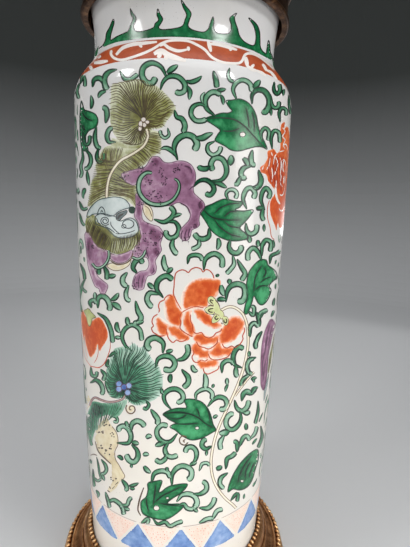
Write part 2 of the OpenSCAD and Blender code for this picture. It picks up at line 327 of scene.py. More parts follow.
lathe, given, out = new_group(
    "turned_on_the_lathe", "GeometryNodeTree",
    [("Section", "Geometry"), ("Steps", "Int", LATHE_STEPS), ("Core", "Float", LATHE_CORE),
     ("Finish", "Material")],
    [("Turned", "Geometry")])
section_xyz = axes(lathe, put(lathe, "GeometryNodeInputPosition")[0])
flat = put(lathe, "ShaderNodeCombineXYZ", {0: calc(lathe, "SUBTRACT", section_xyz[0], given["Core"]),
                                           1: calc(lathe, "MULTIPLY", section_xyz[2], -1.0)})[0]
laid = put(lathe, "GeometryNodeSetPosition", {"Geometry": given["Section"], "Position": flat})[0]
section_curve = put(lathe, "GeometryNodeMeshToCurve", {0: laid})[0]
turn = put(lathe, "GeometryNodeCurvePrimitiveCircle",
           {"Resolution": given["Steps"], "Radius": given["Core"]}, mode="RADIUS")[0]
swept = put(lathe, "GeometryNodeCurveToMesh", {"Curve": turn, "Profile Curve": section_curve})[0]
end_tree(lathe, swept, given["Finish"], out)
print("a turned piece has", LATHE_STEPS, "steps round")

# %% Section helpers
def bow(p0, p1, p2, steps):
    """Points on a quadratic curve from p0 to p2, drawn towards p1."""
    t = np.linspace(0, 1, steps + 1)[:, None]
    p0, p1, p2 = (np.array(p, float) for p in (p0, p1, p2))
    return [tuple(p) for p in (1 - t) ** 2 * p0 + 2 * t * (1 - t) * p1 + t ** 2 * p2]


def arc(centre, radius, start, end, steps=12):
    """Points on an arc, by its angles in degrees."""
    return [(centre[0] + radius * math.cos(a), centre[1] + radius * math.sin(a))
            for a in np.radians(np.linspace(start, end, steps + 1))]


def draw_section(name, points, wear=None):
    """A closed section in mm, as an object of edges with its wear painted on."""
    kept, worn = [], []
    for i, p in enumerate(points):
        if not kept or math.dist(p, kept[-1]) > 1e-4:
            kept.append(p)
            worn.append(wear[i] if wear else 0.5)
    if math.dist(kept[0], kept[-1]) < 1e-4:
        del kept[-1], worn[-1]
    count = len(kept)
    obj = mesh_object(name, [(r * MM, 0, z * MM) for r, z in kept],
                      [(i, (i + 1) % count) for i in range(count)])
    obj.data.attributes.new("wear", "FLOAT", "POINT").data.foreach_set("value", worn)
    return obj


def edge_wear(points, base=0.42, reach=0.5):
    """Wear for each point of a section: high where the line turns outwards, low where it turns in."""
    count, worn = len(points), []
    for i, here in enumerate(points):
        back = np.subtract(here, points[i - 1])
        ahead = np.subtract(points[(i + 1) % count], here)
        turn_by = math.atan2(back[0] * ahead[1] - back[1] * ahead[0], float(np.dot(back, ahead)))
        worn.append(min(1.0, max(0.0, base + reach * turn_by)))
    return [0.25 * worn[i - 1] + 0.5 * worn[i] + 0.25 * worn[(i + 1) % count] for i in range(count)]


print("section helpers ready")

# %% Turning
def face_outwards(mesh, inside_out=False):
    """Merges a shell's doubles and points its faces outwards, or inwards for a room."""
    shell = bmesh.new()
    shell.from_mesh(mesh)
    bmesh.ops.remove_doubles(shell, verts=shell.verts, dist=1e-7)
    bmesh.ops.recalc_face_normals(shell, faces=shell.faces)
    if inside_out:
        bmesh.ops.reverse_faces(shell, faces=shell.faces)
    shell.to_mesh(mesh)
    shell.free()


def tidy_shell(obj, sharp_degrees=32.0):
    """Points a closed shell's faces outwards, and shades it smooth between its sharp edges."""
    face_outwards(obj.data)
    obj.data.shade_smooth()
    obj.data.set_sharp_from_angle(angle=math.radians(sharp_degrees))


def turned(name, points, finish, wear=None):
    """A closed shell turned from a section in mm."""
    obj = draw_section(name, points, wear)
    apply_tree(obj, lathe, Steps=LATHE_STEPS, Core=LATHE_CORE, Finish=finish)
    tidy_shell(settle(obj))
    print(name, "has", len(obj.data.polygons), "faces")
    return obj


def hand_over(obj, body, slot, *nodes):
    """The piece rides on a body and stands for these CAD nodes, which are hidden; slot is not used."""
    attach(obj, body)
    if nodes:
        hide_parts(*nodes)
    return obj


def cad_size(node):
    """A CAD node's reach, foot and top in mm."""
    low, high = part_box(node)
    return [round(v / MM, 2) for v in (high.x, low.z, high.z)]


print("turning helpers ready")

# %% [markdown]
# ## The porcelain
# The jar tapers gently to its foot, runs straight near the top, turns over a rounded shoulder and
# closes to a short waisted neck with a rolled lip. The glaze is white, its colour painted a little
# greyer at the neck, as painted shade under the collar, and creamier and brighter at the foot, as
# painted light. Its outer line is also what the painting is wrapped on, so it is kept as its own list.

# %% Porcelain section
FOOT_R, FOOT_Z = 69.2, 26.0
BODY_R, FULL_Z, STRAIGHT_Z = 80.0, 345.0, 371.0
NECK_R, NECK_Z = 66.8, 398.0
RIM_R, RIM_Z, WALL = 69.0, 439.25, 5.5
LIP_ROUND = WALL / 2
FLOOR_Z, HOLLOW_Z, DRILL_R, FOOT_IN_R = 40.0, 32.0, 6.0, 61.2

outer_line = bow((FOOT_R, FOOT_Z), (78.0, 150.0), (BODY_R, FULL_Z), 64)
outer_line += [(BODY_R, FULL_Z + step) for step in (8.0, 17.0)]
outer_line += bow((BODY_R, STRAIGHT_Z), (BODY_R, 381.0), (73.87, 388.9), 20)
outer_line += bow((73.87, 388.9), (70.3, 393.5), (NECK_R, NECK_Z), 6)[1:]
outer_line += bow((NECK_R, NECK_Z), (63.2, 412.0), (RIM_R, RIM_Z), 26)[1:]
lip = arc((RIM_R - LIP_ROUND, RIM_Z), LIP_ROUND, 0, 180, 14)
inner_line = [(r - WALL, z) for r, z in outer_line[::-2] if z > FLOOR_Z + 2 * WALL]
floor_line = bow((66.3, 51.0), (65.0, FLOOR_Z), (53.9, FLOOR_Z), 8)
under_line = [(DRILL_R, FLOOR_Z), (DRILL_R, HOLLOW_Z), (FOOT_IN_R, HOLLOW_Z),
              (FOOT_IN_R, FOOT_Z + 0.5), (FOOT_IN_R + 0.5, FOOT_Z), (FOOT_R - 0.5, FOOT_Z)]
porcelain_section = outer_line + lip[1:] + inner_line[1:] + floor_line + under_line
print("porcelain section:", len(porcelain_section), "points; CAD", cad_size("vase_body"))

# %% Glaze and porcelain body
glaze, tree, shader, place = new_material("white_glaze", Roughness=0.1, IOR=1.5)
cloud = noise(tree, place, 16.0, 3.0)
# painted light: the glaze turns greyer towards the neck, as painted shade under the collar, and creamier
# and brighter towards the foot
warm = calc(tree, "ADD", spread(tree, axes(tree, place)[2], 0.42, 0.06),
            spread(tree, cloud, 0.3, 0.7, -0.3, 0.3))
skin = use_group(tree, glaze_skin, {"Vector": place, "Swell": 70.0, "Speck": 500.0})
ground = blend_colour(tree, spread(tree, warm, 0.0, 1.0), srgb(232, 231, 230), srgb(240, 234, 224))
speckled = blend_colour(tree, calc(tree, "MULTIPLY", skin["Specks"], 0.5), ground, srgb(120, 105, 90))
fill(tree, shader, {"Base Color": speckled, "Roughness": spread(tree, cloud, 0.3, 0.7, 0.08, 0.13),
                    "Normal": bumped(tree, skin["Height"], 0.06, 0.5 * MM)})
hand_over(turned("vase_porcelain", porcelain_section, glaze), "vase", "porcelain", "vase_body")

# %% [markdown]
# ## The bronze socle
# Two castings stand on each other: a low plinth with a hollow side, and a moulded ring with two
# thin fillets, a hollow between them and a swelling above. Both are old gilt bronze, brown in the
# hollows and worn bright on the edges, so wear is worked out from how sharply each section turns.

# %% Socle castings
PLINTH_R, PLINTH_TOP_R, PLINTH_IN_R, WEB_R = 95.72, 93.12, 81.72, 60.0
FELT_TOP, BAND_Z, WEB_UNDER_Z, PLINTH_TOP = 2.4, 6.5, 12.4, 16.4
MOULDING_R, LEDGE_R, RECESS_R, LAND_R = 87.62, 62.6, 70.6, 74.02
LOW_FILLET, FILLET_R, BEAD_LAND_Z, LEDGE_Z = (86.72, 21.0), 0.9, 36.2, 20.6
HIGH_FILLET = (LOW_FILLET[0] - 8.0, LOW_FILLET[1] + 7.5)
print("CAD plinth", cad_size("plinth_ring"), "ring", cad_size("moulded_ring"))

bronze = metal_finish("gilt_bronze", (104, 68, 44), (192, 140, 94), (236, 190, 134))
bead_bronze = metal_finish("bead_bronze", (66, 38, 22), (164, 110, 66), (246, 200, 144))

plinth_section = [(PLINTH_IN_R, FELT_TOP), (PLINTH_R - 0.4, FELT_TOP), (PLINTH_R, FELT_TOP + 0.4),
                  (PLINTH_R, BAND_Z - 0.5), (PLINTH_R - 0.5, BAND_Z)]
plinth_section += bow((PLINTH_R - 0.9, BAND_Z), (PLINTH_TOP_R, BAND_Z), (PLINTH_TOP_R, WEB_UNDER_Z), 12)
plinth_section += [(PLINTH_TOP_R, PLINTH_TOP - 0.5), (PLINTH_TOP_R - 0.5, PLINTH_TOP),
                   (90.0, PLINTH_TOP), (80.0, PLINTH_TOP), (WEB_R, PLINTH_TOP),
                   (WEB_R, WEB_UNDER_Z), (PLINTH_IN_R, WEB_UNDER_Z)]
hand_over(turned("socle_plinth", plinth_section, bronze, edge_wear(plinth_section)),
          "vase", "bronze", "plinth_ring")

ring_section = [(LEDGE_R, PLINTH_TOP), (MOULDING_R - 0.3, PLINTH_TOP), (MOULDING_R, PLINTH_TOP + 0.3)]
ring_section += arc(LOW_FILLET, FILLET_R, 0, 180)
ring_section += bow((LOW_FILLET[0] - FILLET_R, LOW_FILLET[1]),
                    (HIGH_FILLET[0] + FILLET_R, LOW_FILLET[1]),
                    (HIGH_FILLET[0] + FILLET_R, HIGH_FILLET[1]), 16)[1:]
ring_section += arc(HIGH_FILLET, FILLET_R, 0, 180)[1:]
ring_section += bow((HIGH_FILLET[0] - FILLET_R, HIGH_FILLET[1]),
                    (HIGH_FILLET[0] - FILLET_R, BEAD_LAND_Z), (LAND_R, BEAD_LAND_Z), 14)[1:]
ring_section += [(RECESS_R + 0.3, BEAD_LAND_Z), (RECESS_R, BEAD_LAND_Z - 0.3), (RECESS_R, LEDGE_Z),
                 (LEDGE_R, LEDGE_Z)]
hand_over(turned("socle_ring", ring_section, bronze, edge_wear(ring_section)),
          "vase", "bronze", "moulded_ring")

# %% [markdown]
# ## The bead rows
# A row of round beads runs round the plinth and a smaller one round the porcelain's foot. Each row
# was cast as a strip with its beads standing on it. The beads repeat, so a second geometry tree
# sets one small ball on every point of a circle, each a hair larger or smaller than its neighbour.
# The ball carries its own wear: bright on its outer and upper side, dark down where it joins the strip.

# %% Bead tree
beads, given, out = new_group(
    "bead_row", "GeometryNodeTree",
    [("Strip", "Geometry"), ("Count", "Int", 100), ("Row Radius", "Float", 0.09),
     ("Bead Radius", "Float", 0.002), ("Land", "Float", 0.0), ("Seed", "Int", 4),
     ("Finish", "Material")],
    [("Row", "Geometry")])
ball = put(beads, "GeometryNodeMeshUVSphere",
           {"Segments": 16, "Rings": 10, "Radius": given["Bead Radius"]})[0]
facing = axes(beads, put(beads, "GeometryNodeInputNormal")[0])
worn = calc(beads, "MULTIPLY_ADD", facing[0], 0.4, calc(beads, "MULTIPLY_ADD", facing[2], 0.5, 0.38))
ball = put(beads, "GeometryNodeStoreNamedAttribute",
           {"Geometry": ball, "Name": "wear", "Value": worn}, data_type="FLOAT", domain="POINT")[0]
ball = put(beads, "GeometryNodeSetShadeSmooth", {"Geometry": ball})[0]
round_row = put(beads, "GeometryNodeMeshCircle",
                {"Vertices": given["Count"], "Radius": given["Row Radius"]})[0]
row_xyz = axes(beads, put(beads, "GeometryNodeInputPosition")[0])
outward = put(beads, "ShaderNodeCombineXYZ", {2: calc(beads, "ARCTAN2", row_xyz[1], row_xyz[0])})[0]
uneven_size = put(beads, "FunctionNodeRandomValue",
                  {2: 0.965, 3: 1.0, "Seed": given["Seed"]}, data_type="FLOAT")[1]
placed = put(beads, "GeometryNodeInstanceOnPoints", {
    "Points": round_row, "Instance": ball, "Rotation": outward, "Scale": uneven_size})[0]
lift = put(beads, "ShaderNodeCombineXYZ",
           {2: calc(beads, "ADD", given["Land"], given["Bead Radius"])})[0]
raised = put(beads, "GeometryNodeTransform", {"Geometry": placed, "Translation": lift})[0]
joined = beads.nodes.new("GeometryNodeJoinGeometry")
for shape in (raised, given["Strip"]):
    fill(beads, joined, {0: shape})
end_tree(beads, joined.outputs[0], given["Finish"], out)
print("bead tree of", len(beads.nodes), "nodes")

# %% Bead rows
STRIP_W, STRIP_T = 2.4, 1.1


def bead_row(name, node, row_r, bead_r, count, land_z, seed):
    """A strip with a row of beads standing on it."""
    strip = [(row_r + x * STRIP_W / 2, land_z + z * STRIP_T)
             for x, z in ((-1, 0), (1, 0), (1, 1), (-1, 1))]
    obj = draw_section(name, strip, [0.1] * 4)
    apply_tree(obj, lathe, Steps=LATHE_STEPS, Core=LATHE_CORE, Finish=bead_bronze)
    apply_tree(obj, beads, Count=count, Row_Radius=row_r * MM, Bead_Radius=bead_r * MM,
               Land=land_z * MM, Seed=seed, Finish=bead_bronze)
    tidy_shell(settle(obj), 40.0)
    hand_over(obj, "vase", "bead_bronze", node)
    print(name, count, "beads; CAD", cad_size(node))


bead_row("outer_beads", "outer_bead_row", 90.12, 2.1, 115, PLINTH_TOP, 4)
bead_row("inner_beads", "inner_bead_row", 72.22, 1.8, 100, BEAD_LAND_Z, 9)

# %% [markdown]
# ## The bronze collar and the fittings
# The collar drops over the porcelain's lip: a skirt with a rolled foot, a waist and a flared crown.
# It is darker than the socle, nearly black-brown, and only its rolled edges catch the light.
# Inside it hangs a brass sleeve, held by four slotted screws. The rest of the fittings are hidden:
# felt under the socle, a cork ring and a bolted stack through the foot. Their CAD shapes are right,
# so they keep them and only get finishes.

# %% Collar
dark_bronze = metal_finish("dark_bronze", (34, 21, 14), (78, 52, 36), (170, 124, 82))
COLLAR_IN, COLLAR_WAIST, COLLAR_LIP, CROWN_R = 70.2, 73.7, 75.2, 77.3
COLLAR_FOOT, LIP_BEAD, WEB_Z, WEB_TOP, COLLAR_TOP, CROWN_ROUND = 428.4, 1.8, 443.5, 447.0, 456.0, 2.0
SLEEVE_HOLE = 59.4
print("CAD collar", cad_size("collar"))
flare_z = COLLAR_TOP - 2 * CROWN_ROUND
collar_section = [(COLLAR_IN, COLLAR_FOOT)]
collar_section += arc((COLLAR_LIP - LIP_BEAD, COLLAR_FOOT + LIP_BEAD), LIP_BEAD, -90, 90)
collar_section += bow((COLLAR_WAIST, WEB_Z), (COLLAR_WAIST, flare_z), (CROWN_R - CROWN_ROUND, flare_z), 14)
collar_section += arc((CROWN_R - CROWN_ROUND, COLLAR_TOP - CROWN_ROUND), CROWN_ROUND, -90, 90)[1:]
collar_section += [(COLLAR_IN + 0.4, COLLAR_TOP), (COLLAR_IN, COLLAR_TOP - 0.4), (COLLAR_IN, WEB_TOP),
                   (SLEEVE_HOLE, WEB_TOP), (SLEEVE_HOLE, WEB_Z), (COLLAR_IN, WEB_Z)]
hand_over(turned("bronze_collar", collar_section, dark_bronze, edge_wear(collar_section, 0.36)),
          "collar", "dark_bronze", "collar")

# %% Hidden fittings keep their CAD shapes
brass = metal_finish("aged_brass", (84, 58, 22), (164, 122, 58), (222, 184, 104), wear=0.55)
steel = metal_finish("dull_steel", (62, 60, 58), (120, 118, 114), (178, 176, 172), wear=0.5)
iron = metal_finish("black_iron", (28, 25, 23), (56, 51, 47), (104, 96, 90), wear=0.4)


def fibre_finish(name, dark, light, scale, stretch=(1.0, 1.0, 1.0), bump=0.4):
    """A matt finish of two colours: felt fibre, cork grain or leather."""
    made, tree, shader, place = new_material(name, Roughness=0.92)
    pulled = put(tree, "ShaderNodeMapping", {"Vector": place, "Scale": stretch})[0]
    grain = noise(tree, pulled, scale, 6.0, 0.7)
    colour = blend_colour(tree, spread(tree, grain, 0.3, 0.7), srgb(*dark), srgb(*light))
    fill(tree, shader, {"Base Color": colour, "Normal": bumped(tree, grain, bump, 0.3 * MM)})
    return made


felt = fibre_finish("green_felt", (34, 44, 30), (66, 78, 52), 900.0, (1.0, 1.0, 0.3))
cork = fibre_finish("pressed_cork", (112, 78, 46), (196, 156, 108), 520.0)
leather = fibre_finish("sole_leather", (70, 42, 26), (128, 82, 50), 700.0, bump=0.25)
fitting_finish = {
    "felt_pad": felt, "cork_ring": cork, "leather_washer": leather, "collar_cushion": leather,
    "seat_plate": brass, "brass_washer": brass, "collar_liner": brass, "liner_screws": brass,
    "base_bolt": steel, "plain_washer": steel, "base_nut": steel, "clamp_bar": iron,
}
for node, finish in fitting_finish.items():
    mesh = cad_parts[node].data
    mesh.materials.clear()
    mesh.materials.append(finish)
print("fittings:", ", ".join(sorted(fitting_finish)))

# %% [markdown]
# ## Painting flat, then wrapping
# The painter worked on a round jar, but it is easier to draw on a flat sheet: the sheet is the
# jar's skin rolled out, with the way round along X, height along Y and the thickness of the enamel
# along Z. Strokes are written down in the picture's own pixels, as points that were read off it; a
# ray through each point finds its place on the sheet. Everything is drawn as real enamel with a
# raised middle and a low edge, because overglaze enamel stands up from the glaze.
# A geometry tree then wraps a sheet on the porcelain. It looks the radius up in a table that holds
# one point for each millimetre of height.

# %% From the picture to the sheet
SHEET_R = 77.0
outline = np.array(outer_line)


def outer_radius(z):
    """The porcelain's outer radius at a height, in mm."""
    return np.interp(z, outline[:, 1], outline[:, 0])


def unroll(pixels):
    """Sheet places, in mm, where the rays through points of the picture meet the porcelain."""
    pixels = np.asarray(pixels, float)
    offset = (pixels - IMAGE_SIZE / 2) / FOCAL_PX
    ray = look + offset[:, :1] * right - offset[:, 1:] * up
    eye = EYE / MM
    beside = -(ray[:, :2] @ eye[:2]) / (ray[:, :2] ** 2).sum(1)
    near, far = beside - 150.0, beside.copy()
    for _ in range(40):
        half = (near + far) / 2
        spot = eye + half[:, None] * ray
        outside = np.hypot(spot[:, 0], spot[:, 1]) > outer_radius(spot[:, 2])
        near, far = np.where(outside, half, near), np.where(outside, far, half)
    spot = eye + far[:, None] * ray
    return np.stack((np.arctan2(spot[:, 0], -spot[:, 1]) * SHEET_R, spot[:, 2]), 1)


centre_place = unroll([IMAGE_SIZE / 2])[0]
print("the picture's centre lies at", np.round(centre_place, 1), "mm on the sheet")

# %% Points of the picture
SHADES = {"light": -0.25, "mid": 0.05, "dark": 0.25}


def px(text):
    """Points, written as x,y pairs in the picture's pixels."""
    return [tuple(float(v) for v in pair.split(",")) for pair in text.split()]


def each(text):
    """Several lines of points, parted by semicolons."""
    return [px(part) for part in text.split(";")]


def strokes(text):
    """Strokes, one in each row: a width, a shade unless it is the middle one, and the points."""
    made = []
    for row in text.strip().splitlines():
        words = row.split()
        shade = words.pop(1) if words[1] in SHADES else "mid"
        made.append((float(words[0]), SHADES[shade], px(" ".join(words[1:]))))
    return made


print("shades of a scroll:", SHADES)

# %% Wrap tree
heights = np.arange(0.0, 457.0)
slope = np.gradient(outer_radius(heights))
steep = np.hypot(1.0, slope)
radius_table = mesh_object("radius_table", zip(outer_radius(heights) * MM, 1 / steep, -slope / steep))
radius_table.hide_render = True

wrap, given, out = new_group(
    "wrapped_on_the_vase", "GeometryNodeTree",
    [("Sheet", "Geometry"), ("Radius Table", "Object"), ("Table Step", "Float", MM),
     ("Sheet Radius", "Float", SHEET_R * MM), ("Finish", "Material")],
    [("Wrapped", "Geometry")])
here = put(wrap, "GeometryNodeInputPosition")[0]
sheet_xyz = axes(wrap, here)
angle = calc(wrap, "DIVIDE", sheet_xyz[0], given["Sheet Radius"])
row = calc(wrap, "DIVIDE", sheet_xyz[1], given["Table Step"])
row_under = calc(wrap, "FLOOR", row)
table = put(wrap, "GeometryNodeObjectInfo", {"Object": given["Radius Table"]})["Geometry"]


def read_table(index):
    """Radius and outward direction at one row of the table."""
    return put(wrap, "GeometryNodeSampleIndex", {"Geometry": table, "Value": here, "Index": index},
               data_type="FLOAT_VECTOR", domain="POINT", clamp=True)[0]


found = put(wrap, "ShaderNodeMix", {0: calc(wrap, "FRACT", row), 4: read_table(row_under),
                                    5: read_table(calc(wrap, "ADD", row_under, 1.0))},
            data_type="VECTOR")[1]
found_xyz = axes(wrap, found)
reach = calc(wrap, "MULTIPLY_ADD", sheet_xyz[2], found_xyz[1], found_xyz[0])
backwards = calc(wrap, "MULTIPLY", reach, calc(wrap, "COSINE", angle))
wrapped_place = put(wrap, "ShaderNodeCombineXYZ", {
    0: calc(wrap, "MULTIPLY", reach, calc(wrap, "SINE", angle)),
    1: calc(wrap, "MULTIPLY", backwards, -1.0),
    2: calc(wrap, "MULTIPLY_ADD", sheet_xyz[2], found_xyz[2], sheet_xyz[1])})[0]
moved = put(wrap, "GeometryNodeSetPosition", {"Geometry": given["Sheet"], "Position": wrapped_place})[0]
end_tree(wrap, moved, given["Finish"], out)
print("radius table rows:", len(heights))

# %% [markdown]
# ## Brushes
# Four brushes make the whole decoration. A *stroke* is a ribbon along a smooth line, with a width
# that can swell and taper. A *wash* fills an outline; its edge lies low and its middle high, and
# its tone can be darker at the rim or in the middle. An *ink line* is a thin stroke. A *comb* lays
# many hairs between two guide lines. Each brush adds to a coat, one coat for each enamel colour,
# so the finished model has one piece for each colour.

# %% Coats
EDGE_SINK, BRUSH_STEP = -0.012, 1.3
coats = {}
brush_shift = np.zeros(2)


def lay(coat, points, tones, heights, faces, on_sheet=False):
    """Adds painted points and faces to a coat; points are in pixels, or in mm on the sheet."""
    store = coats.setdefault(coat, {"points": [], "tones": [], "faces": [], "count": 0})
    flat = (np.asarray(points, float) if on_sheet else unroll(points)) + brush_shift
    store["points"].append(np.column_stack((flat, heights)))
    store["tones"].append(np.clip(tones, 0.0, 1.0))
    for face in faces:
        corners = flat[list(face)]
        ahead = np.roll(corners, -1, axis=0)
        area = (corners[:, 0] * ahead[:, 1] - ahead[:, 0] * corners[:, 1]).sum()
        face = face if area > 0 else face[::-1]
        store["faces"].append(tuple(int(i) + store["count"] for i in face))
    store["count"] += len(flat)


print("an enamel's edge lies", EDGE_SINK, "mm from the glaze")

# %% Smooth lines
def smooth(points, step=BRUSH_STEP, closed=False):
    """A smooth line through the points, as a row of points about one step apart."""
    p = np.array(points, float)
    if closed:
        ext = np.vstack((p[-1], p, p[:2]))
    else:
        ext = np.vstack((2 * p[0] - p[1], p, 2 * p[-1] - p[-2]))
    rows = []
    for a, b, c, d in zip(ext, ext[1:], ext[2:], ext[3:]):
        count = max(1, round(float(np.linalg.norm(c - b)) / step))
        t = np.linspace(0, 1, count, endpoint=False)[:, None]
        rows.append(0.5 * (2 * b + (c - a) * t + (2 * a - 5 * b + 4 * c - d) * t ** 2
                           + (3 * b - a - 3 * c + d) * t ** 3))
    if not closed:
        rows.append(p[-1:])
    return np.vstack(rows)


def sideways(path, closed=False):
    """A unit direction across the line at each of its points."""
    if closed:
        along = np.roll(path, -1, axis=0) - np.roll(path, 1, axis=0)
    else:
        along = np.gradient(path, axis=0)
    along /= np.maximum(np.linalg.norm(along, axis=1), 1e-6)[:, None]
    return np.stack((-along[:, 1], along[:, 0]), 1)


def run_of(path):
    """Length along a line at each of its points."""
    return np.concatenate(([0.0], np.cumsum(np.linalg.norm(np.diff(path, axis=0), axis=1))))


def share_of(path):
    """Share of a line's length at each of its points."""
    return run_of(path) / run_of(path)[-1]


print("a brush line has a point every", BRUSH_STEP, "px")

# %% Ribbons
def grid_faces(rows, wide, closed=False):
    """Faces between the rows of a grid of points; closed joins its last row to the first."""
    return [(i * wide + j, i * wide + j + 1, (i + 1) % rows * wide + j + 1, (i + 1) % rows * wide + j)
            for i in range(rows if closed else rows - 1) for j in range(wide - 1)]


def ribbon(coat, path, half, tones, heights, across=(-1, 0, 1), closed=False, on_sheet=False):
    """A band along a line: each row across it has a point for every share of the half width."""
    side = sideways(path, closed)
    count, wide = len(path), len(across)
    half = np.broadcast_to(half, count)
    points = (path[:, None] + side[:, None] * (half[:, None] * np.array(across))[..., None])
    lay(coat, points.reshape(-1, 2), np.broadcast_to(tones, (count, wide)).ravel(),
        np.tile(heights, count), grid_faces(count, wide, closed), on_sheet)


def rounded(half, path):
    """Rounds a band's ends off."""
    run = run_of(path)
    to_end = np.minimum(run, run[-1] - run)
    shape = np.sqrt(1 - (1 - np.clip(to_end / np.maximum(half, 0.3), 0, 1)) ** 2)
    return np.maximum(half * shape, 0.06)


print("ribbons ready")

# %% Ink lines
INK_HEIGHTS = np.array((0.05, 0.09, 0.05))


def line(coat, points, width=1.0, closed=False, tone=0.5, taper=0.0, on_sheet=False, lift=0.0,
         step=BRUSH_STEP):
    """A thin ink line, thinner towards its ends by the share taper; tone may run between two values."""
    path = smooth(points, step, closed)
    share = share_of(path)
    half = width / 2 * (1 - taper * np.abs(2 * share - 1) ** 2)
    if not closed:
        half = rounded(half, path)
    tones = np.interp(share, (0, 1), np.broadcast_to(tone, 2))[:, None]
    ribbon(coat, path, half, tones, INK_HEIGHTS + lift, closed=closed, on_sheet=on_sheet)


def lines(coat, text, width, **how):
    """Ink lines that are written as text."""
    for points in each(text):
        line(coat, points, width, **how)


print("an ink line stands", INK_HEIGHTS.max(), "mm high")

# %% Scroll bands
SCROLL_INK = 1.45


def band(path, half, shade, lift=0.0, fade=0.0):
    """A pale green band with a dark line along both sides; fade makes its head paler."""
    along = (0.5 - share_of(path)) * fade
    rim = np.array((0.85, 0.4, 0.26, 0.3, 0.72)) + shade + along[:, None]
    ribbon("scroll_green", path, half, rim, np.array((EDGE_SINK, 0.06, 0.09, 0.06, EDGE_SINK)) + lift,
           (-1, -0.55, 0, 0.55, 1))
    side = sideways(path)
    for way in (-1, 1):
        ink_wide = SCROLL_INK * (1.0 + 0.3 * way)
        inset = np.maximum(half - ink_wide * 0.3, 0.05)
        edge = path + way * side * inset[:, None]
        ribbon("scroll_ink", edge, np.minimum(ink_wide / 2, half * 0.6),
               0.5 + shade / 2 + along[:, None], INK_HEIGHTS + lift)


# painted shade, in part: the scrolls are made darker the higher they sit on the wall
def deeper_and_shaded_high(path):
    """Darker higher up, partly painted shade: enamel laid on stronger under the shoulder, thinner at the
    foot.
    """
    return 0.2 * float(np.interp(path[:, 1].mean(), (70, 480), (1, 0)))


def curl(width, shade, points):
    """One scroll: a thin dark root, drawn out past its first point, that swells to a round head."""
    first, second = np.array(points[:2], float)
    root = first + (first - second) / np.linalg.norm(first - second) * 2.5
    path = smooth([root, *points])
    half = 0.35 + width / 2 * np.interp(share_of(path), (0.0, 0.18, 0.4, 0.85, 1.0),
                                        (0.15, 0.6, 0.95, 1.0, 1.12))
    band(path, rounded(half, path), shade + deeper_and_shaded_high(path), fade=0.65)


def bud(width, shade, points):
    """One small leaf on a scroll: a pointed lens."""
    path = smooth(points, 1.0)
    share = share_of(path)
    half = np.maximum(width / 2 * np.sin(np.pi * np.clip(0.08 + 0.9 * share, 0, 1)) ** 0.7, 0.1)
    band(path, half, shade + deeper_and_shaded_high(path), fade=0.65)


print("a scroll's ink is", SCROLL_INK, "px wide")

# %% Washes
def inside(points, loop):
    """Which points lie inside a closed loop."""
    x, y = points[:, 0][:, None], points[:, 1][:, None]
    x0, y0 = loop[:, 0], loop[:, 1]
    x1, y1 = np.roll(x0, -1), np.roll(y0, -1)
    with np.errstate(divide="ignore", invalid="ignore"):
        crossing = (y0 > y) != (y1 > y)
        left = x < (x1 - x0) * (y - y0) / (y1 - y0) + x0
    return (crossing & left).sum(1) % 2 == 1


def gap_to(points, others):
    """Distance from each point to the nearest of some others."""
    return np.sqrt(((points[:, None] - others[None]) ** 2).sum(2)).min(1)


def wash(coat, points, tone, height=0.07, grid=2.6, closed_line=True, on_sheet=False, lift=0.0, grow=0.0):
    """Fills an outline, widened by grow. Its tone follows from each place and its depth within the rim."""
    loop = smooth(points, BRUSH_STEP, True) if closed_line else np.array(points, float)
    if grow:
        ahead = np.roll(loop, -1, axis=0)
        way = np.sign((loop[:, 0] * ahead[:, 1] - ahead[:, 0] * loop[:, 1]).sum())
        loop = loop - way * grow * sideways(loop, True)
    low, high = loop.min(0), loop.max(0)
    xs, ys = np.arange(low[0], high[0], grid), np.arange(low[1], high[1], grid * 0.87)
    mesh_points = np.array([(x + (j % 2) * grid / 2, y) for j, y in enumerate(ys) for x in xs])
    keep = inside(mesh_points, loop) & (gap_to(mesh_points, loop) > grid * 0.42)
    every = np.vstack((loop, mesh_points[keep]))
    count = len(loop)
    rim_edges = [(i, (i + 1) % count) for i in range(count)]
    made = delaunay_2d_cdt([Vector(p) for p in every], rim_edges, [], 1, 1e-5)
    places = np.array([tuple(v) for v in made[0]])
    depth = gap_to(places, loop)
    rise = np.clip(depth / 1.1, 0, 1)
    heights = EDGE_SINK + (height - EDGE_SINK) * rise + lift
    lay(coat, places, tone(places, depth), heights, made[2], on_sheet)


print("wash brush ready")

# %% Tones of a wash
def rim_dark(base, rim, width):
    """Tone that is darker near the rim."""
    return lambda places, depth: base + rim * np.exp(-depth / width)


def soft(full, fade, rim=0.0, power=0.8):
    """Tone that fades out towards the rim, as a thin wash does."""
    return lambda places, depth: rim + (full - rim) * np.clip(depth / fade, 0, 1) ** power


def towards(point, near, far, reach_px, rim=0.0):
    """Tone that changes with the distance from a point."""
    def tone(places, depth):
        away = np.clip(np.hypot(*(places - np.array(point, float)).T) / reach_px, 0, 1)
        inner = np.clip(0.15 + depth / 3.5, 0, 1)
        return (near + (far - near) * away) * inner + rim * np.exp(-depth / 1.5)
    return tone


print("tones ready")

# %% Hairs, dots and rings
DOT_SIDES, RING_SIDES = 10, 12


def comb(coat, text, count, width=0.7, wave=0.0, tone=0.5, lift=0.0, seed=1):
    """Hairs between two guide lines."""
    rng = np.random.default_rng(seed)
    first, last = (np.array(guide) for guide in each(text))
    for k in range(count):
        share = (k + 0.5) / count
        hair = first * (1 - share) + last * share
        hair[1:-1] += rng.normal(0, wave, hair[1:-1].shape)
        line(coat, hair, width, taper=0.5, tone=np.array(tone) + rng.uniform(-0.15, 0.15), lift=lift)


def ellipse(centre, rx, ry, sides):
    """Points on an ellipse."""
    turn = np.linspace(0, 2 * np.pi, sides, endpoint=False)
    return np.array(centre) + np.stack((rx * np.cos(turn), ry * np.sin(turn)), 1)


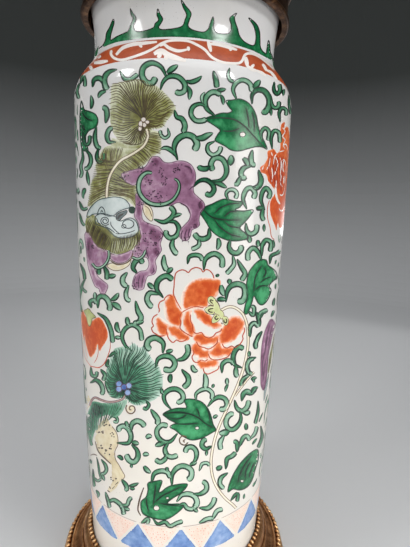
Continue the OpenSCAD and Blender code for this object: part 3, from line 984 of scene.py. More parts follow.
def dot(coat, centre, radius, tone=0.5, lift=0.0):
    """A round spot."""
    points = np.vstack((ellipse(centre, radius, radius, DOT_SIDES), [centre]))
    heights = np.append(np.zeros(DOT_SIDES), 0.05) + lift
    lay(coat, points, np.full(DOT_SIDES + 1, tone), heights,
        [(i, (i + 1) % DOT_SIDES, DOT_SIDES) for i in range(DOT_SIDES)])


def ring_line(coat, centre, rx, ry, width, tone=0.5, lift=0.0):
    """An ink line round an ellipse."""
    line(coat, ellipse(centre, rx, ry, RING_SIDES), width, True, tone, lift=lift, step=0.9)


print("brushes ready")

# %% [markdown]
# ## The leafy scrolls
# Between the lions and the flowers the whole wall is filled with small curling leaves: pale green
# bands with a dark line along both sides, and pointed buds where they meet. They follow no rule, so
# they are written down one by one, row by row from the shoulder to the foot. Each has its width in
# pixels, its shade where it is light or dark, and the line it follows.

# %% Scrolls under the shoulder
curls, buds = [], []
curls += strokes("""
3 81,82 83,76 85,80 85,87
2.5 79,85 77,91 79,99
5 93,85 94,80 99,78 104,82 106,90
5 115,70 109,72 105,77 105,84 108,90
5 106,121 107,115 106,109 102,107
4 121,73 125,79 131,79 138,74
5.5 166,76 161,67 152,63 144,67 142,75 146,82 152,83 156,77
5 161,88 163,82 168,77 175,76 181,79 185,85 184,91 179,93 175,91
5 175,112 177,117 182,119 185,126 183,133
4.5 207,107 200,104 193,107 191,114 195,120 201,121 207,119
5 214,115 207,109 205,101 209,94 215,92 221,95
5 214,73 216,80 217,88
3 229,70 228,75 230,80 234,82
4.5 light 236,98 233,90 236,83 243,80 250,84 252,92
5.5 dark 252,102 252,95 257,90 264,91 269,98 269,106 265,112 262,110
3.5 dark 274,84 274,90 277,94 280,90 279,84
3.5 271,100 273,107 278,107 279,101
3 280,120 279,113 282,108 286,110 286,116
2 dark 289,95 289,105 291,115""")
buds += strokes("""
4.5 106,91 101,93 98,98
4 91,109 92,102 91,95
6 167,73 172,69 178,65
5 186,81 191,82 197,80 202,76
5 187,86 190,92 189,100
4 221,95 223,100 223,105
4.5 217,90 221,90 226,89
4 light 203,104 202,97 205,92
6 253,88 257,84 260,80
3 284,89 283,96
3 271,108 271,116""")
print(len(curls), "curls so far")

# %% Scrolls beside the first lion
curls += strokes("""
3 dark 83,134 85,144 89,143 90,135
4 96,129 95,138 97,146 101,149
4 dark 98,150 97,157 100,162 104,158 104,153
4.5 114,142 109,142 107,136 109,130 113,127
3.5 86,150 90,155 91,162 88,168 84,169
2.5 82,150 83,158 81,166 82,173 80,178
3 light 168,130 169,135 165,138 161,135 160,130
6 177,158 174,149 177,140 185,135 193,137 197,144 194,151
4 light 213,142 208,145 208,151 213,155 219,152 221,146
5 212,181 221,180 226,174 226,166 222,159 215,158 211,164 213,171
5 dark 210,167 205,169 200,168 199,165
4.5 dark 194,186 199,181 206,180 212,184 214,190 210,195 205,193
5 252,152 251,158 252,164 256,165
5 250,166 244,168 241,173 243,178 246,176
4.5 240,178 237,184 234,183
5 259,172 261,180 259,186 254,189
3.5 262,140 261,133 265,128 269,132 268,141
3.5 272,147 271,138 274,131 279,133 280,143
2.5 80,203 83,209 88,208
2 80,215 82,222 85,226
4.5 156,220 164,222 171,218 174,212 170,206
4.5 167,222 175,222 179,229 176,236 170,238 166,234 167,230
5 light 173,240 172,246 175,252 178,254
5 209,230 209,236 204,239 198,238 194,233
4 light 199,240 199,245 195,248 191,249
3.5 light 228,199 226,194 229,190 234,190 237,194 235,199
4.5 246,207 243,199 246,190 251,188 255,193 253,199
4 264,208 261,201 262,193 266,188 270,193 268,199
4 263,209 262,216 264,221
4.5 246,225 247,231 251,234 256,231 257,224
5 230,241 229,247 232,252 237,253 241,249 240,245
4 262,254 262,246 266,240 271,243 270,252""")
buds += strokes("""
3.5 87,171 88,178 89,186
6.5 195,138 202,138 208,135 213,133
5 177,157 172,151 166,148 160,149
5 214,183 220,184 227,188
7 229,165 231,160 231,155
6 243,158 247,162 248,167
4 light 173,217 177,215 182,214
5 218,238 219,244 217,250
5 dark 252,187 256,188 260,185
5 dark 256,209 260,208 264,208
3 264,224 264,232
5 249,236 250,243
4.5 258,240 258,247
3 273,240 274,248""")
print(len(curls), "curls so far")

# %% Scrolls round the great peony
curls += strokes("""
5 dark 136,272 133,268 135,262 140,259 143,264
4 dark 99,268 99,275
4.5 dark 105,268 107,273 107,280
5 light 126,274 123,278 123,283 127,287
4 light 128,287 126,293 127,299 131,301
5 98,306 98,299 102,296 107,299 110,306 109,311
4 91,306 90,302 94,300 97,304
5 136,303 138,311 141,317 139,322 133,324
2.5 dark 81,265 84,272 85,280
2 85,279 82,287 87,293
5 light 164,257 164,264 167,271
5 dark 162,296 157,290 157,283 161,278 167,276 173,280
5 158,294 150,293 147,299 150,305 153,307
4 188,262 189,257 194,255 200,256 203,261
5 204,268 205,260 210,255 216,254 222,259 222,268
4 light 233,257 234,264 230,270 226,274
4.5 238,261 242,268 245,274 241,281
5.5 226,300 227,292 231,286 238,284 244,287 245,295 242,301 237,301
4.5 261,259 258,252 253,248 248,253 248,261
3 dark 270,262 271,256 277,253 281,250
3.5 249,312 253,315 254,308 251,306
3.5 259,322 259,315 264,311 268,310
2 274,300 273,306
2 272,315 274,310
4 131,350 125,345 122,336 126,328 133,325 140,330 142,341
4 99,314 106,319 111,330 113,343
3 dark 110,356 114,353 116,357 113,359
3 dark 108,361 107,365 110,366
3 91,369 92,375 96,376 97,371
3.5 102,371 105,375 103,381
5.5 163,351 163,343 156,338 149,340 147,346 151,350
5 156,366 158,359 165,356 172,358 175,364 171,370 163,369
5 178,360 184,358 188,352 187,344
5 183,371 188,377 188,383 183,388
5 light 205,375 206,381 205,389
4.5 dark 240,367 235,365 233,358 235,351 239,347 244,349
4 222,371 222,365 226,361 231,361 234,365
4.5 236,368 236,374 238,377
4 250,335 250,327 254,323 259,327
4 dark 257,314 259,321 258,327
3.5 dark 261,333 257,340 255,345 257,349
4.5 254,358 249,360 247,366 249,373 253,374
4.5 246,377 242,381 241,386""")
print(len(curls), "curls so far")

# %% Buds round the great peony
buds += strokes("""
5 108,276 112,276 116,275
4 light 95,299 95,292
5 111,300 115,298 119,293
6 112,303 117,306 121,310
5 167,273 170,270 173,268
5 148,283 151,286 154,289
4 dark 217,274 218,277
5 230,279 229,284
6 light 221,285 222,291 224,296
5 217,300 221,299 226,300
5 117,322 117,328 120,333
4 light 115,337 121,338
5 127,317 128,323 130,326
4.5 136,323 141,322 144,321
4.5 166,352 170,351 173,350
5 dark 171,374 170,379 171,383
5 light 192,365 194,370 198,371
4 249,351 249,357
4 light 227,378 227,385
3 253,377 254,383""")
print(len(buds), "buds so far")

# %% Scrolls towards the foot
curls += strokes("""
4 92,382 96,380 101,384 103,391 101,395
3 106,383 108,388 110,393
3 dark 147,402 149,405 146,409 143,407
2.5 113,416 117,418 117,422 113,421
4.5 119,443 128,443 131,437 129,430 124,426 119,428 120,432
5 131,430 132,424 137,421 142,423 145,427
2 dark 87,418 88,430 92,446
4.5 170,408 165,402 164,395 169,390 176,389 182,393 183,399 179,402 177,400
4 light 196,399 196,394 201,390 207,389 212,393 212,400
4.5 209,405 213,400 219,397 225,399 227,405 224,409 219,409
5 152,411 155,415 158,420 157,425
4.5 176,435 171,441 164,442 158,437 157,430 162,425 168,426
4.5 168,443 165,449 167,455 172,457 178,455
4.5 dark 210,447 206,449 202,446 203,441 207,439
4.5 193,463 196,458 196,451 192,447 187,448 185,453
4 242,399 243,394 247,391 251,393
4.5 235,402 237,408 242,411 247,407 249,400
4.5 240,412 241,418 239,424 234,429 229,429 226,424 227,418 231,414 234,415
4.5 light 223,437 220,443 221,450
4 dark 237,450 237,443 233,441
4 240,445 243,438 247,436 250,441
2.5 dark 258,403 258,412 255,424
2.5 dark 261,428 262,437 258,448
5 133,446 137,450 138,457 134,462 129,460 126,454
4.5 167,454 165,459 160,462 155,459
4.5 152,481 154,474 160,471 167,472 171,478
5 172,484 172,475 177,468 184,466 191,470 191,477 187,480
3 light 200,469 202,464 207,463 210,466
4 dark 226,467 227,459 232,456 236,452
4 226,474 221,478 220,484 224,489
4.5 195,494 200,494 206,490 206,484 202,481
5 light 178,500 182,495 189,494 195,497 197,503 194,508
4 180,505 184,504 187,508 192,509 197,506
4.5 201,508 208,508 213,503 215,497
4 light 213,518 217,511 223,509
4 light 201,522 207,519 214,518
4 107,497 109,501 114,500 120,504 123,509 124,515
3.5 122,505 127,505 129,500 132,497
3 106,494 108,500 110,508
4 dark 123,481 126,485 127,489 124,490
1.6 dark 97,459 98.5,466 99.5,473 101.5,479
3 102.5,461 105.5,465 106.5,470 104,473.5 100.5,474
2.2 dark 93,471 93.5,478 94.5,487
2 94.5,478 98,481 101.5,478.5
3.5 154,520 158,524 165,522 170,526 177,523 183,521
4 143,522 148,519 147,524
3 dark 232,499 235,495 238,494 237,502""")
print(len(curls), "curls so far")

# %% Buds towards the foot
buds += strokes("""
4.5 126,421 127,425 130,429
5 132,442 136,443 139,444
5 light 146,438 149,436 152,437
4 161,388 162,392 164,394
3 214,384 212,388
3.5 213,418 216,416 218,416
5.5 165,443 160,444 155,446
4.5 dark 251,393 254,389 258,387
5 light 243,412 247,413 250,411
7 229,431 224,433 219,433
4 246,430 246,423
4 dark 123,460 120,457 117,456
3 131,464 132,468
4.5 light 143,455 146,454 149,455
5 144,466 147,470 151,473
4 dark 167,467 167,472
4.5 190,465 194,463 197,462
5 dark 216,469 219,468 222,466
4 193,508 198,512
4 122,507 124,513
4 124,508 130,510
3.5 dark 129,486 134,485 139,483
3.5 dark 130,488 135,489
3 96,490 98.5,494 97.5,498
3.5 100,473 103,477 104.5,481
2.5 dark 90,459 91.5,464
3 207,450 206,456""")
print(len(buds), "buds so far")

# %% Scrolls by the right edge
curls += strokes("""
3 249,334 250.5,327 254.5,323 258,326
2 dark 260,318.5 263,313 266.5,312
3.5 260.5,333 258,337 256,343 256,348
3.5 249.5,374 247,368 249,361 254,358
3.5 240.5,384 243,379 249,375
3 243,398 245.5,393 251,393.5 256,388.5
3 light 251,438 255,433 257,426""")
buds += strokes("""
3 258,321 259,318 260,315
3 250,356 248,353
3.5 251,380 254,378 257,378
3 228,384 226,388 225,392""")
motifs = [(curl, motif) for motif in curls] + [(bud, motif) for motif in buds]
for brush, motif in motifs:
    brush(*motif)
print(len(curls), "curls and", len(buds), "buds")

# %% [markdown]
# ## The big leaves
# Seven large peony leaves lie among the scrolls. They are a strong emerald, washed on thickly: the
# rim and the vein are dark, and a few have a round gap that was left white.

# %% Leaves
# the gaps left white, as x, y and size; then the outline and the veins
leaves = {
    "upper": ([(242.5, 134.5, 3.0)], """
226,101 232,100 240,99 247,102 252,107 256,115 258,125 260,133 264,141 267,149 262,147 255,147
247,149 239,151 231,150 225,146 219,143 215,140 218,134 220,130 212,124 205,119 215,115 222,113
228,113 232,111 229,107; 205,119 215,118 225,118 235,120 243,125 250,132 258,141 265,148; 246,108
248,118 249,128; 252,112 254,122 254,132; 222,131 232,131 240,128"""),
    "middle": ([], """
200,213 205,207 212,204 218,201 225,199 235,201 243,202 240,207 235,210 243,211 253,210 250,216
245,222 240,228 245,233 249,238 243,240 235,241 227,240 218,236 211,230 206,222 202,216; 203,209
210,216 218,219 230,220 240,220; 214,214 220,208 230,204 240,203; 224,217 230,212 238,211; 224,221
230,226 240,228; 214,219 220,227 230,234 241,237"""),
    "curled": ([], """
266,260 260,260 254,265 249,272 247,280 246,290 247,298 245,306 244,313 247,314 250,308 252,302
254,296 258,303 262,305 266,302 269,297 271,290 269,286 273,281 277,278 276,272 272,268 268,265;
262,265 256,275 254,285 254,292; 260,283 265,279 271,277; 255,290 261,286 268,286; 264,268 266,272
263,278"""),
    "low_middle": ([(197, 428, 2.0)], """
163,414 170,410 178,408 186,408 186,405 184,400 190,399 197,400 203,403 208,409 211,416 213,424
216,430 213,432 206,436 199,439 192,440 186,438 180,434 175,430 170,427 174,424 179,424 176,423
170,420 166,417; 164,413 185,413 197,417 206,424 214,428; 164,414 175,412 186,413 183,417 176,419
168,417; 200,418 198,411 196,408; 210,422 209,414 206,408; 198,423 188,424 178,424"""),
    "foot": ([(156.5, 508, 3.0), (167.5, 498, 1.6)], """
148,483 156,481 162,481 159,491 161,492 170,486 187,484 182,492 173,498 168,502 169,504 180,504
183,507 177,513 167,519 157,519 147,516 142,512 141,502 146,497 148,490; 156,484 155,491 154,500
153,506; 146,497 147,505 149,512; 183,486 172,491 162,496 154,503; 180,506 170,505 160,503"""),
    "low_right": ([(242, 481, 1.7)], """
258,450 253,451 246,457 239,465 233,475 229,485 228,492 233,489 240,490 247,487 252,480 255,470
258,460; 252,455 245,464 240,474 238,482; 250,462 246,470 245,478; 255,462 251,470 249,478"""),
    "left_edge": ([], """
81.5,101 84,109 88,111 95,114 98,120 96,127 90,130 86,135 86,143 88,150 82.5,150 80.5,138 80,125
80.2,112; 82,112 86,118 93,121; 82,125 85,131"""),
}
print(len(leaves), "big leaves")

# %% Paint the leaves
def paint_leaf(gaps, text):
    """One big leaf: its wash, its outline and veins, and the gaps left white in it."""
    shape, *veins = each(text)
    ribs = np.vstack([smooth(vein) for vein in veins])

    def tone(places, depth):
        near_rib = np.exp(-gap_to(places, ribs) / 2.8)
        return np.minimum(0.12 + 0.4 * np.exp(-depth / 1.6) + 0.6 * near_rib, 0.62)

    wash("leaf_green", shape, tone, grid=2.2)
    line("leaf_ink", shape, 1.1, True, tone=0.6)
    for vein in veins:
        line("leaf_ink", vein, 1.5, taper=0.5, tone=0.8, lift=0.02)
    for x, y, size in gaps:
        dot("reserve_white", (x, y), size, lift=0.1)
        ring_line("leaf_ink", (x, y), size, size * 0.8, 0.8, lift=0.08)


for leaf in leaves.values():
    paint_leaf(*leaf)
print("leaf ink has", coats["leaf_ink"]["count"], "points")

# %% [markdown]
# ## The peonies
# The great peony is painted in iron-red, laid on in patches that fade out. Each petal keeps a broad
# white rim, with one fine red scalloped line round it. A second flower turns round the right side
# and a half-open bud shows at the left edge. A cream stem, edged in brown, bows from the flower
# down to the foot.

# %% Petals of the great peony
# each petal has a red patch, then the scalloped line round its white rim
petals = each("""
183.5,308 183,300 185,292 189,286 196,281.5 204,280 212,280.5 218,281 218,287 215,295 210,297
207,301 206,306 197,306 190,308.5; 181.5,310 177,302 173.5,294 174,287 174.5,279 176,273 181,270
185,270.5 188.5,272.5 191,269.5 196,267.5 201,269 203,272 206,269.5 210,271 213,275 214,279;
169,297 166.5,303 166,310 167.5,317 171,322 176,325 179,324 180,318 182,313 180,309 176,303 173,297;
172.5,297 169,295 165,298 164,300 160,302 158.5,306 159.5,310 158.5,313;
157.5,319 159,329 161,334 167,334.5 167,330 167.5,326 163,322; 158,314 153.5,317 152,322 153.5,326
151.5,328 153,332 156,334 160,336 165,335.5;
168,327.5 172,327 176,327 181,332 187,336 186,339 178,337.5 172,333.5 169,330; 166,328 167,334
169,339 173,342.5 176.5,340 180,341.5 185,340.5 188,337;
186,312 190,311 189,316 190.5,322 192.5,328 193.5,333 191,335 187,329 185,321; 204,308 196,306.5
188,309 181.5,313 180,318 181,323 180,328 184,332 189,335 193,337;
195.5,311 201,310.5 206,314 210,318 214,322 219,324.5 221,325.5 214,326.5 207,323.5 200,318 197,314;
190.5,314 190.5,320 192.5,325.5 193,331 196.5,333.5 201.5,332.5 204,336 209,338 213.5,336 216,333
220.5,331 222,328;
195,337.5 198,341 204,344 211,343.5 216,340 217,337 209,338.5 200,334.5; 196,341 199,346 204,347.5
208,349 212,347.5 217,343 217,338;
221.5,331 224,327 229,320.5 235,317.5 240,319 243,324.5 240,331 235,337 228,341.5 222,343 220,338;
244,327 244.5,331 242.5,336 243,339 240,344 235,347.5 231.5,346 227,348 223.5,346.5 222,343;
211,352 215,347 219,343.5 221,347 226,349.5 232,349.5 228,353 220,355.5 213,355.5 209,352.5; 208,353
210,358 215,360 222,359 228,356.5 231,352;
193,347.5 196,344 199,347 204,350 208,352 208,357 203,358 198,355 194,352; 192.5,349 194,353 192,357
194,361.5 198,362.5 201,360 205,361 208,359;
200,361 207,361.5 214,360 217,364 212,366.5 203,367 199,365; 203,368 204.5,372.5 208,374 213,372
218,369 219,365""")
petal_tone = soft(0.92, 4.8, 0.0, 1.15)
for red_patch, rim in zip(petals[::2], petals[1::2]):
    wash("peony_red", red_patch, petal_tone, 0.06, 1.6, grow=2.5)
    line("red_line", rim, 1.15, tone=0.65)
print(len(petals) // 2, "petals")

# %% Calyx
# the middle, then the four lobes round it
calyx = each("""
214,298 217,301.5 219.3,305 220.2,309 223,312 224,316.5 221,319 218.5,315.5 215,313.5 212.8,310
213,305.5; 214.5,299 211.5,296.3 208.4,297.6 207.8,301 210,304 213.5,305.2; 213.5,306 208.5,306.5
204.6,309.3 206.2,312 209.5,314 214,313.5; 216,313.8 213.3,316.5 211.8,319.8 212.3,323 216,322.4
219.2,320 220.4,316.5; 222.8,316.5 222.4,320 223.8,323.8 226,325.4 228,323 228.2,319.4 226.5,316.6""")
for lobe in calyx:
    wash("calyx_green", lobe, rim_dark(0.6, -0.5, 1.3), lift=0.07, grid=1.3)
    line("brown_ink", lobe, 0.55, True, tone=0.2, lift=0.03, step=1.0)
lines("olive_ink", """
213.6,300.9 210.6,299.8 210.3,301.4 212.8,303.8; 213.4,308.3 209.8,309 208.3,310.4 210,311.9
213,312.2; 217.2,315.3 214.8,317.6 216.2,319.5 218.6,318; 223.7,319 224,321.6 225.8,322.9
226.7,320.6 225.6,318.4""", 1.3, taper=0.2, tone=0.9, lift=0.1, step=0.8)
lines("brown_ink", """
208,305.6 210.5,305.6 213.6,306; 205.2,311.6 208,313.8; 212,314.3 214.6,314.4; 215,299.6 218,303
219.8,307; 220.6,309.4 221.2,310.8; 220.8,322.5 222.8,324.2""",
      1.1, taper=0.4, tone=0.6, lift=0.09, step=0.8)
print(len(calyx) - 1, "lobes")

# %% Side peony
def scallops(top, foot, wide, lobes, size=1.0):
    """A lobed half round on the sheet, from a flower's top to its foot."""
    share = np.linspace(0, 1, 8 * lobes + 1)
    reach = size * (0.86 + 0.14 * np.abs(np.sin(np.pi * lobes * share)) ** 0.7)
    angle = np.pi * (0.5 - share)
    middle, half = (top + foot) / 2, (top[1] - foot[1]) / 2
    return middle + np.column_stack((wide * reach * np.cos(angle), half * reach * np.sin(angle)))


FLOWER_WIDE = 38.0
flower_edge = px("""
285,121.9 281,125 280.3,137.5 280,149 277,153 273.8,148.8 267.3,151.3 267.5,157.5 264.5,163.1
260,167.5 261.3,172.8 266.3,175 268.1,181.3 271.3,185.5 275.2,191.3 273.8,195 270,202.5 270.6,215
275,226.3 276.5,231""")
flower_left = unroll(flower_edge)
top, foot = flower_left[0], flower_left[-1]
hidden_half = scallops(top, foot, FLOWER_WIDE, 4)[::-1]
wash("peony_red", np.vstack((flower_left, hidden_half)), soft(0.9, 1.2, 0.4), 0.06, 1.6, on_sheet=True)
for lobes, size in ((3, 0.66), (2, 0.36)):
    line("reserve_white", scallops(top, foot, FLOWER_WIDE, lobes, size), 1.2, taper=0.3, tone=0.2,
         on_sheet=True, lift=0.04)
flower_middle = (top + foot) / 2
for notch in (8, 16, 24):
    inward = flower_middle + (hidden_half[notch] - flower_middle) * np.array((1.0, 0.9, 0.8))[:, None]
    line("reserve_white", inward, 1.1, taper=0.5, tone=0.2, on_sheet=True, lift=0.04)
print("side peony is", round(top[1] - foot[1]), "mm high")

# %% Streaks of the side peony
streaks = strokes("""
1.5 276.3,153.8 273.8,158.8 273,165
1.2 270,157.5 268.8,165 266.3,170
1.6 275,156.3 277.5,162.5 276.3,170 273.8,176
1.3 271.5,167.5 272.5,175 271.5,182.5
1.5 280,157.5 281.3,165 280,172.5 281.3,177.5
1.3 283.8,160 282.5,167.5 284,172.5
2.4 276.3,180 275.6,190 277,198.8 280,204.5
1.4 281.3,176 280,182.5 282.5,187
1 281.9,127.5 285,131.3 282.5,136.3 285,140 283.1,145 285,149
1.2 279,152 284,150.5
1.2 284,176 283.5,184
1.1 263.5,166 262,170
1.3 271,152 272.5,156""")
for wide, _, streak in streaks:
    line("reserve_white", streak, wide * 0.85, taper=0.3, tone=0.2, lift=0.04)
comb("red_line", "269,156 267.5,168 272,186; 284,156 283,168 282,192", 8, 1.1, 0.7, (1.0, 0.7), 0.05, 31)
lines("red_line", "269.4,200 267.5,207.5 267.5,217.5 270,227.5 271.3,236.3 274.5,240", 0.8)
print(len(streaks), "white streaks in the side peony")

# %% Bud at the left edge
BUD_AXIS = -73.0


def mirrored(points):
    """Sheet places of an edge and of its mirror image, so that a bud on the silhouette is whole."""
    flat = unroll(points)
    return np.vstack((flat, (flat * (-1, 1) + (2 * BUD_AXIS, 0))[::-1]))


bud_edge = px("""
90,321.5 94,319 98,317 102,319.5 105,325 107.5,331 108,337 105.5,342.5 102.5,347 100,351.5 98.7,349
97.6,344.5 96,351 92.5,357 90.5,358""")
wash("peony_red", mirrored(bud_edge), soft(0.9, 2.2, 0.25), 0.06, 1.6, on_sheet=True)
bud_leaves = each("""
90,366 94,366.9 99,367.5 104,363.8 107.8,356.3 110.3,347.5 110.3,341.3;
98.4,345 98.2,353 96.5,359 94,363""")
for wide, edge in zip((0.8, 0.7), bud_leaves):
    for half in np.split(mirrored(edge), 2):
        line("red_line", half, wide, taper=0.3, on_sheet=True)
bud_calyx = mirrored(px("90,309.5 91,311.5 93.5,314 96,317.2 92.5,318.5 92,321 90.3,326"))
wash("calyx_green", bud_calyx, rim_dark(0.7, 0.2, 1.5), lift=0.05, grid=1.5, on_sheet=True)
line("brown_ink", bud_calyx, 0.6, True, tone=0.3, on_sheet=True, lift=0.07)
print("bud painted")

# %% Stem
stem = px("""
221.5,310 228,307 234,307.3 240,311 244,316 247,325 248,335 248,345 246,358 243,370 238,384 232,398
226,411 220,424 215,438 212,452 211,465 213,478 218,489 225,498 232,504 236,508""")
branch = px("254,372 247,380 240,389 235,396")
for route, wide in ((stem, 3.0), (branch, 2.2)):
    path = smooth(route)
    ribbon("cream", path, wide / 2, (0.35, 0.05, 0.05, 0.35), (EDGE_SINK, 0.07, 0.07, EDGE_SINK),
           (-1, -0.4, 0.4, 1))
    for way in (-1, 1):
        edge = path + way * sideways(path) * (wide / 2 - 0.3)
        ribbon("brown_ink", edge, 0.35, 0.1, INK_HEIGHTS)
print("stem of", len(stem), "points")

# %% [markdown]
# ## The first lion
# The first lion bounds down from the shoulder. Its tail bursts into a broad olive plume, its mane
# falls in combed locks on both sides of the tail, and its body is a thin aubergine wash with dark
# spots. The face is an icy blue. Hair is laid over a wash that fades out at its edge: fine dark
# lines that fan from a root, or lie between two guide lines.

# %% Lion plume
PLUME_ROOT = (143.5, 121.5)
plume = px("""
112.5,84 118,82.5 124,81 134,79 144,80 154,84 161.5,89.5 167,95 173,102 176,109 173,114 168,120
164,126.5 158,129 152,130 147,138 140,144.5 130,145.5 120,142 115,136 111,128 110,120 110,110
110.5,99 111,90""")
wash("olive", plume, towards((143, 113), 1.0, 0.2, 33.0))


def burst(rim_points, root, ink, count, lean, seed, tone=(1.0, 0.45)):
    """Wavy hairs that fan out from a root to an outline; they start upright and lean over at the tips."""
    rng = np.random.default_rng(seed)
    rim = smooth(rim_points, 0.5, True)
    for k in range(count):
        way = rim[int((k + rng.uniform(0, 0.5)) * len(rim) / count) % len(rim)] - np.array(root, float)
        across = np.array((-way[1], way[0])) / np.linalg.norm(way)
        rise = np.array((0.0, np.clip(way[1] / 25.0, -1, 1) * lean * np.linalg.norm(way)))
        share = np.array((rng.choice((0.06, 0.2, 0.38)), 0.5, 0.62, 0.74, 0.86, rng.uniform(0.94, 1.06)))
        swing = 2.0 * share * np.sin(share * 9.0 + k * 0.1)
        hair = np.array(root) + share[:, None] * way + (4 * share * (1 - share))[:, None] * rise
        line(ink, hair + swing[:, None] * across, 1.0, taper=0.3, tone=tone, step=1.6, lift=0.03)


burst(plume, PLUME_ROOT, "olive_ink", 72, 0.2, 3)
print("plume of", len(plume), "points")

# %% Lion mane
wash("olive", px("112,138 124,142 138,144 146,136 148,142 142,149 128,150 112,148"), soft(0.4, 3.0))
mane = px("""
105,147 112,145 120,146 128,148 136,148 143,143 147,133 152,130 160,133 161.5,142 161,151 154,156
151,158 146,164 139,168 134,172 130,178 137,184 138.5,192 139,200 136,209 130,203 118,197 106,198
96,203 88,209 88,200 90,190 91,181 96,174 95,166 97,160 101,152""")
wash("olive", mane, soft(0.5, 5.0))
# each lock has its count of hairs and the two guide lines that they lie between
MANE_LOCKS = """
12 124,147 122,153 118,161; 104,148 103,157 107,171
13 118,160 109,159 97,157; 110,178 103,180 91,182
12 110,178 102,182 90,184; 107,196 98,200 87,208
12 148,133 154,132 162,134; 143,147 151,151 161,155
12 143,147 148,152 153,158; 124,159 131,163 139,169
7 124,159 129,164 136,170; 115,168 120,171 125,174
8 112,172 118,176 125,180 134,186; 108,186 116,187 126,188 138,188
11 108,186 116,189 126,190 138,190; 108,196 119,195 131,198 136,208"""
for k, lock in enumerate(MANE_LOCKS.strip().splitlines()):
    count, guides = lock.split(maxsplit=1)
    comb("olive_ink", guides, int(count), 0.9, 0.8, (0.85, 0.3), 0.03, 20 + k)
print("mane of", k + 1, "locks")

# %% Lion beard and tail
beard = px("""
86,219 90,214 97,217 104,224 112,231 118,236 126,237 134,235 138,229 141,233 141.5,238 138,243.5
134,248 128,251.5 122,253.5 117,254 112,252.5 108,250.5 102,248.5 97,247 94,242 91,237 87,232
85.5,226""")


def beard_tone(places, depth):
    """Darkest under the jaw."""
    return 0.42 + 0.5 * np.exp(-np.hypot(*(places - (104.0, 240.0)).T) / 12)


wash("olive", beard, beard_tone, lift=0.08)
comb("olive_ink", "90,218 88,224 86,232; 112,238 108,245 104,253", 20, 0.9, 0.5, (1.0, 0.6), 0.18, 8)
comb("olive_ink", "112,238 111,246 109,256; 139,232 141,238 140,246", 20, 0.9, 0.4, (1.0, 0.6), 0.18, 9)
comb("olive", "113,241 112,247 111,254; 137,238 137,243 133,250", 12, 0.8, 0.5, 0.25, 0.2, 10)
TAIL_KNOTS = ((143.6, 119.6, 2.5, 2.4), (147.4, 122.2, 2.3, 1.9), (140.8, 124, 2.1, 3.2),
              (144.6, 125, 2.1, 2.5), (140.2, 128.6, 1.9, 2.6))
for x, y, rx, ry in TAIL_KNOTS:
    dot("reserve_white", (x, y), (rx + ry) / 2, 0.6, lift=0.16)
    ring_line("brown_ink", (x, y), rx, ry, 0.7, lift=0.16)
tail = smooth(px("""
146.5,129 148,136.5 144,145.5 136.5,151.5 129,156 121.5,160 115.3,166.5 110.3,175 107.8,184
106.8,193 106.8,198"""))
TAIL_HALF = 1.35
ribbon("cream", tail, TAIL_HALF, (0.4, 0.1, 0.4), (0.06, 0.17, 0.06))
for way in (-1, 1):
    edge = tail + way * sideways(tail) * TAIL_HALF
    ribbon("brown_ink", edge, 0.4, 0.4, (0.06, 0.19, 0.06))
print("tail runs", round(run_of(tail)[-1]), "px")

# %% Lion body
body = px("""
151,158 154,156.5 159,157 164,162 170.3,162.8 177.8,161 185.3,161.5 191.5,165.3 195.3,172.8
195.3,180.3 193.4,186.5 194,192.8 198,197 203,201.5 204.6,206.5 200.3,213.8 199,220 199.6,224.4
197,227.5 192,230 190.3,236.3 187,240.6 182.8,240 179.6,236.3 180.3,230 184,225.6 189,220
190.3,213.8 187.8,207.5 182.8,203.8 177.8,202.5 171.5,205 161.5,206.3 151.5,205 144,200 139,192.5
137,184.5 132.8,185.3 124,180 121.5,174 129,171 136.5,169 145,167""")
shoulder = px("""
136,194 141,195 143.4,202.5 142,211.3 143,220 151.5,224.4 159,227 162.8,232.5 162,238.8 160.3,243.8
161.5,250 157.8,256.3 155.3,261.3 156.5,267.5 154.6,273.8 147.8,276.3 145.3,282.5 143.4,288.8
137.8,290 132.8,286.9 132.8,281.3 135.3,275 140.3,271.3 146.5,270 149,263.8 146.5,257.5 139,258
132,256 134,250 137,243 141,238 140,230 138,222 134.5,216 136,206""")
haunch_left = px("""
85,234 90,233 93,241 99,247 107,251 108.4,257 105.3,263.8 99,267.5 94,266 95.3,270 98,276.3
103,280.6 107.8,285 107,290 104,294.4 100.3,292.5 99,288.8 95.3,286.3 91.5,277.5 88,265 86.5,250""")
belly = px("109,253 116,255 125,253 132,250 132,255 126.5,261.3 118,263 111,259")
for shape in (body, shoulder, haunch_left, belly):
    wash("aubergine", shape, soft(0.55, 2.6, 0.12), lift=0.06)
    line("plum_ink", shape, 0.75, True, tone=0.25, lift=0.07)
# darker patches of the same colour
for shape in each("""
152,159 157,158 160,163 157,168 153,165; 183,164 189,166 192,172 190,174 187,169; 198,202 203,203
202,209 199,209; 192,224 197,223 197,227 193,228; 150,228 159,230 161,238 157,243 149,238; 153,248
159,247 158,254 153,255; 150,269 155,270 153,274 150,273; 136,196 141,199 141,214 138,218 136,206;
87,238 92,239 94,250 91,262 88,256"""):
    wash("aubergine", shape, soft(0.85, 2.4, 0.55), 0.05, 1.8, lift=0.12)
lines("plum_ink", """
183,230 181,235 182,239; 187,229 185,235 186,240; 190,228 188.5,234 189,238; 136,276 134,282
135,287; 140,275 138.5,282 139,289; 144,275 142.5,281 142,288; 184,166 190,168 192,174; 202,200
199,204 200,209; 160,231 163,236 158,241; 146,247 147,253 149,259; 155,250 159,252 156,256; 153,267
154,271 151,274; 180,203 187,207 190,214; 193,186 189,190""", 1.2, taper=0.4, tone=0.5, lift=0.14)
print("lion body painted")

# %% Lion spots and trappings
rng = np.random.default_rng(11)
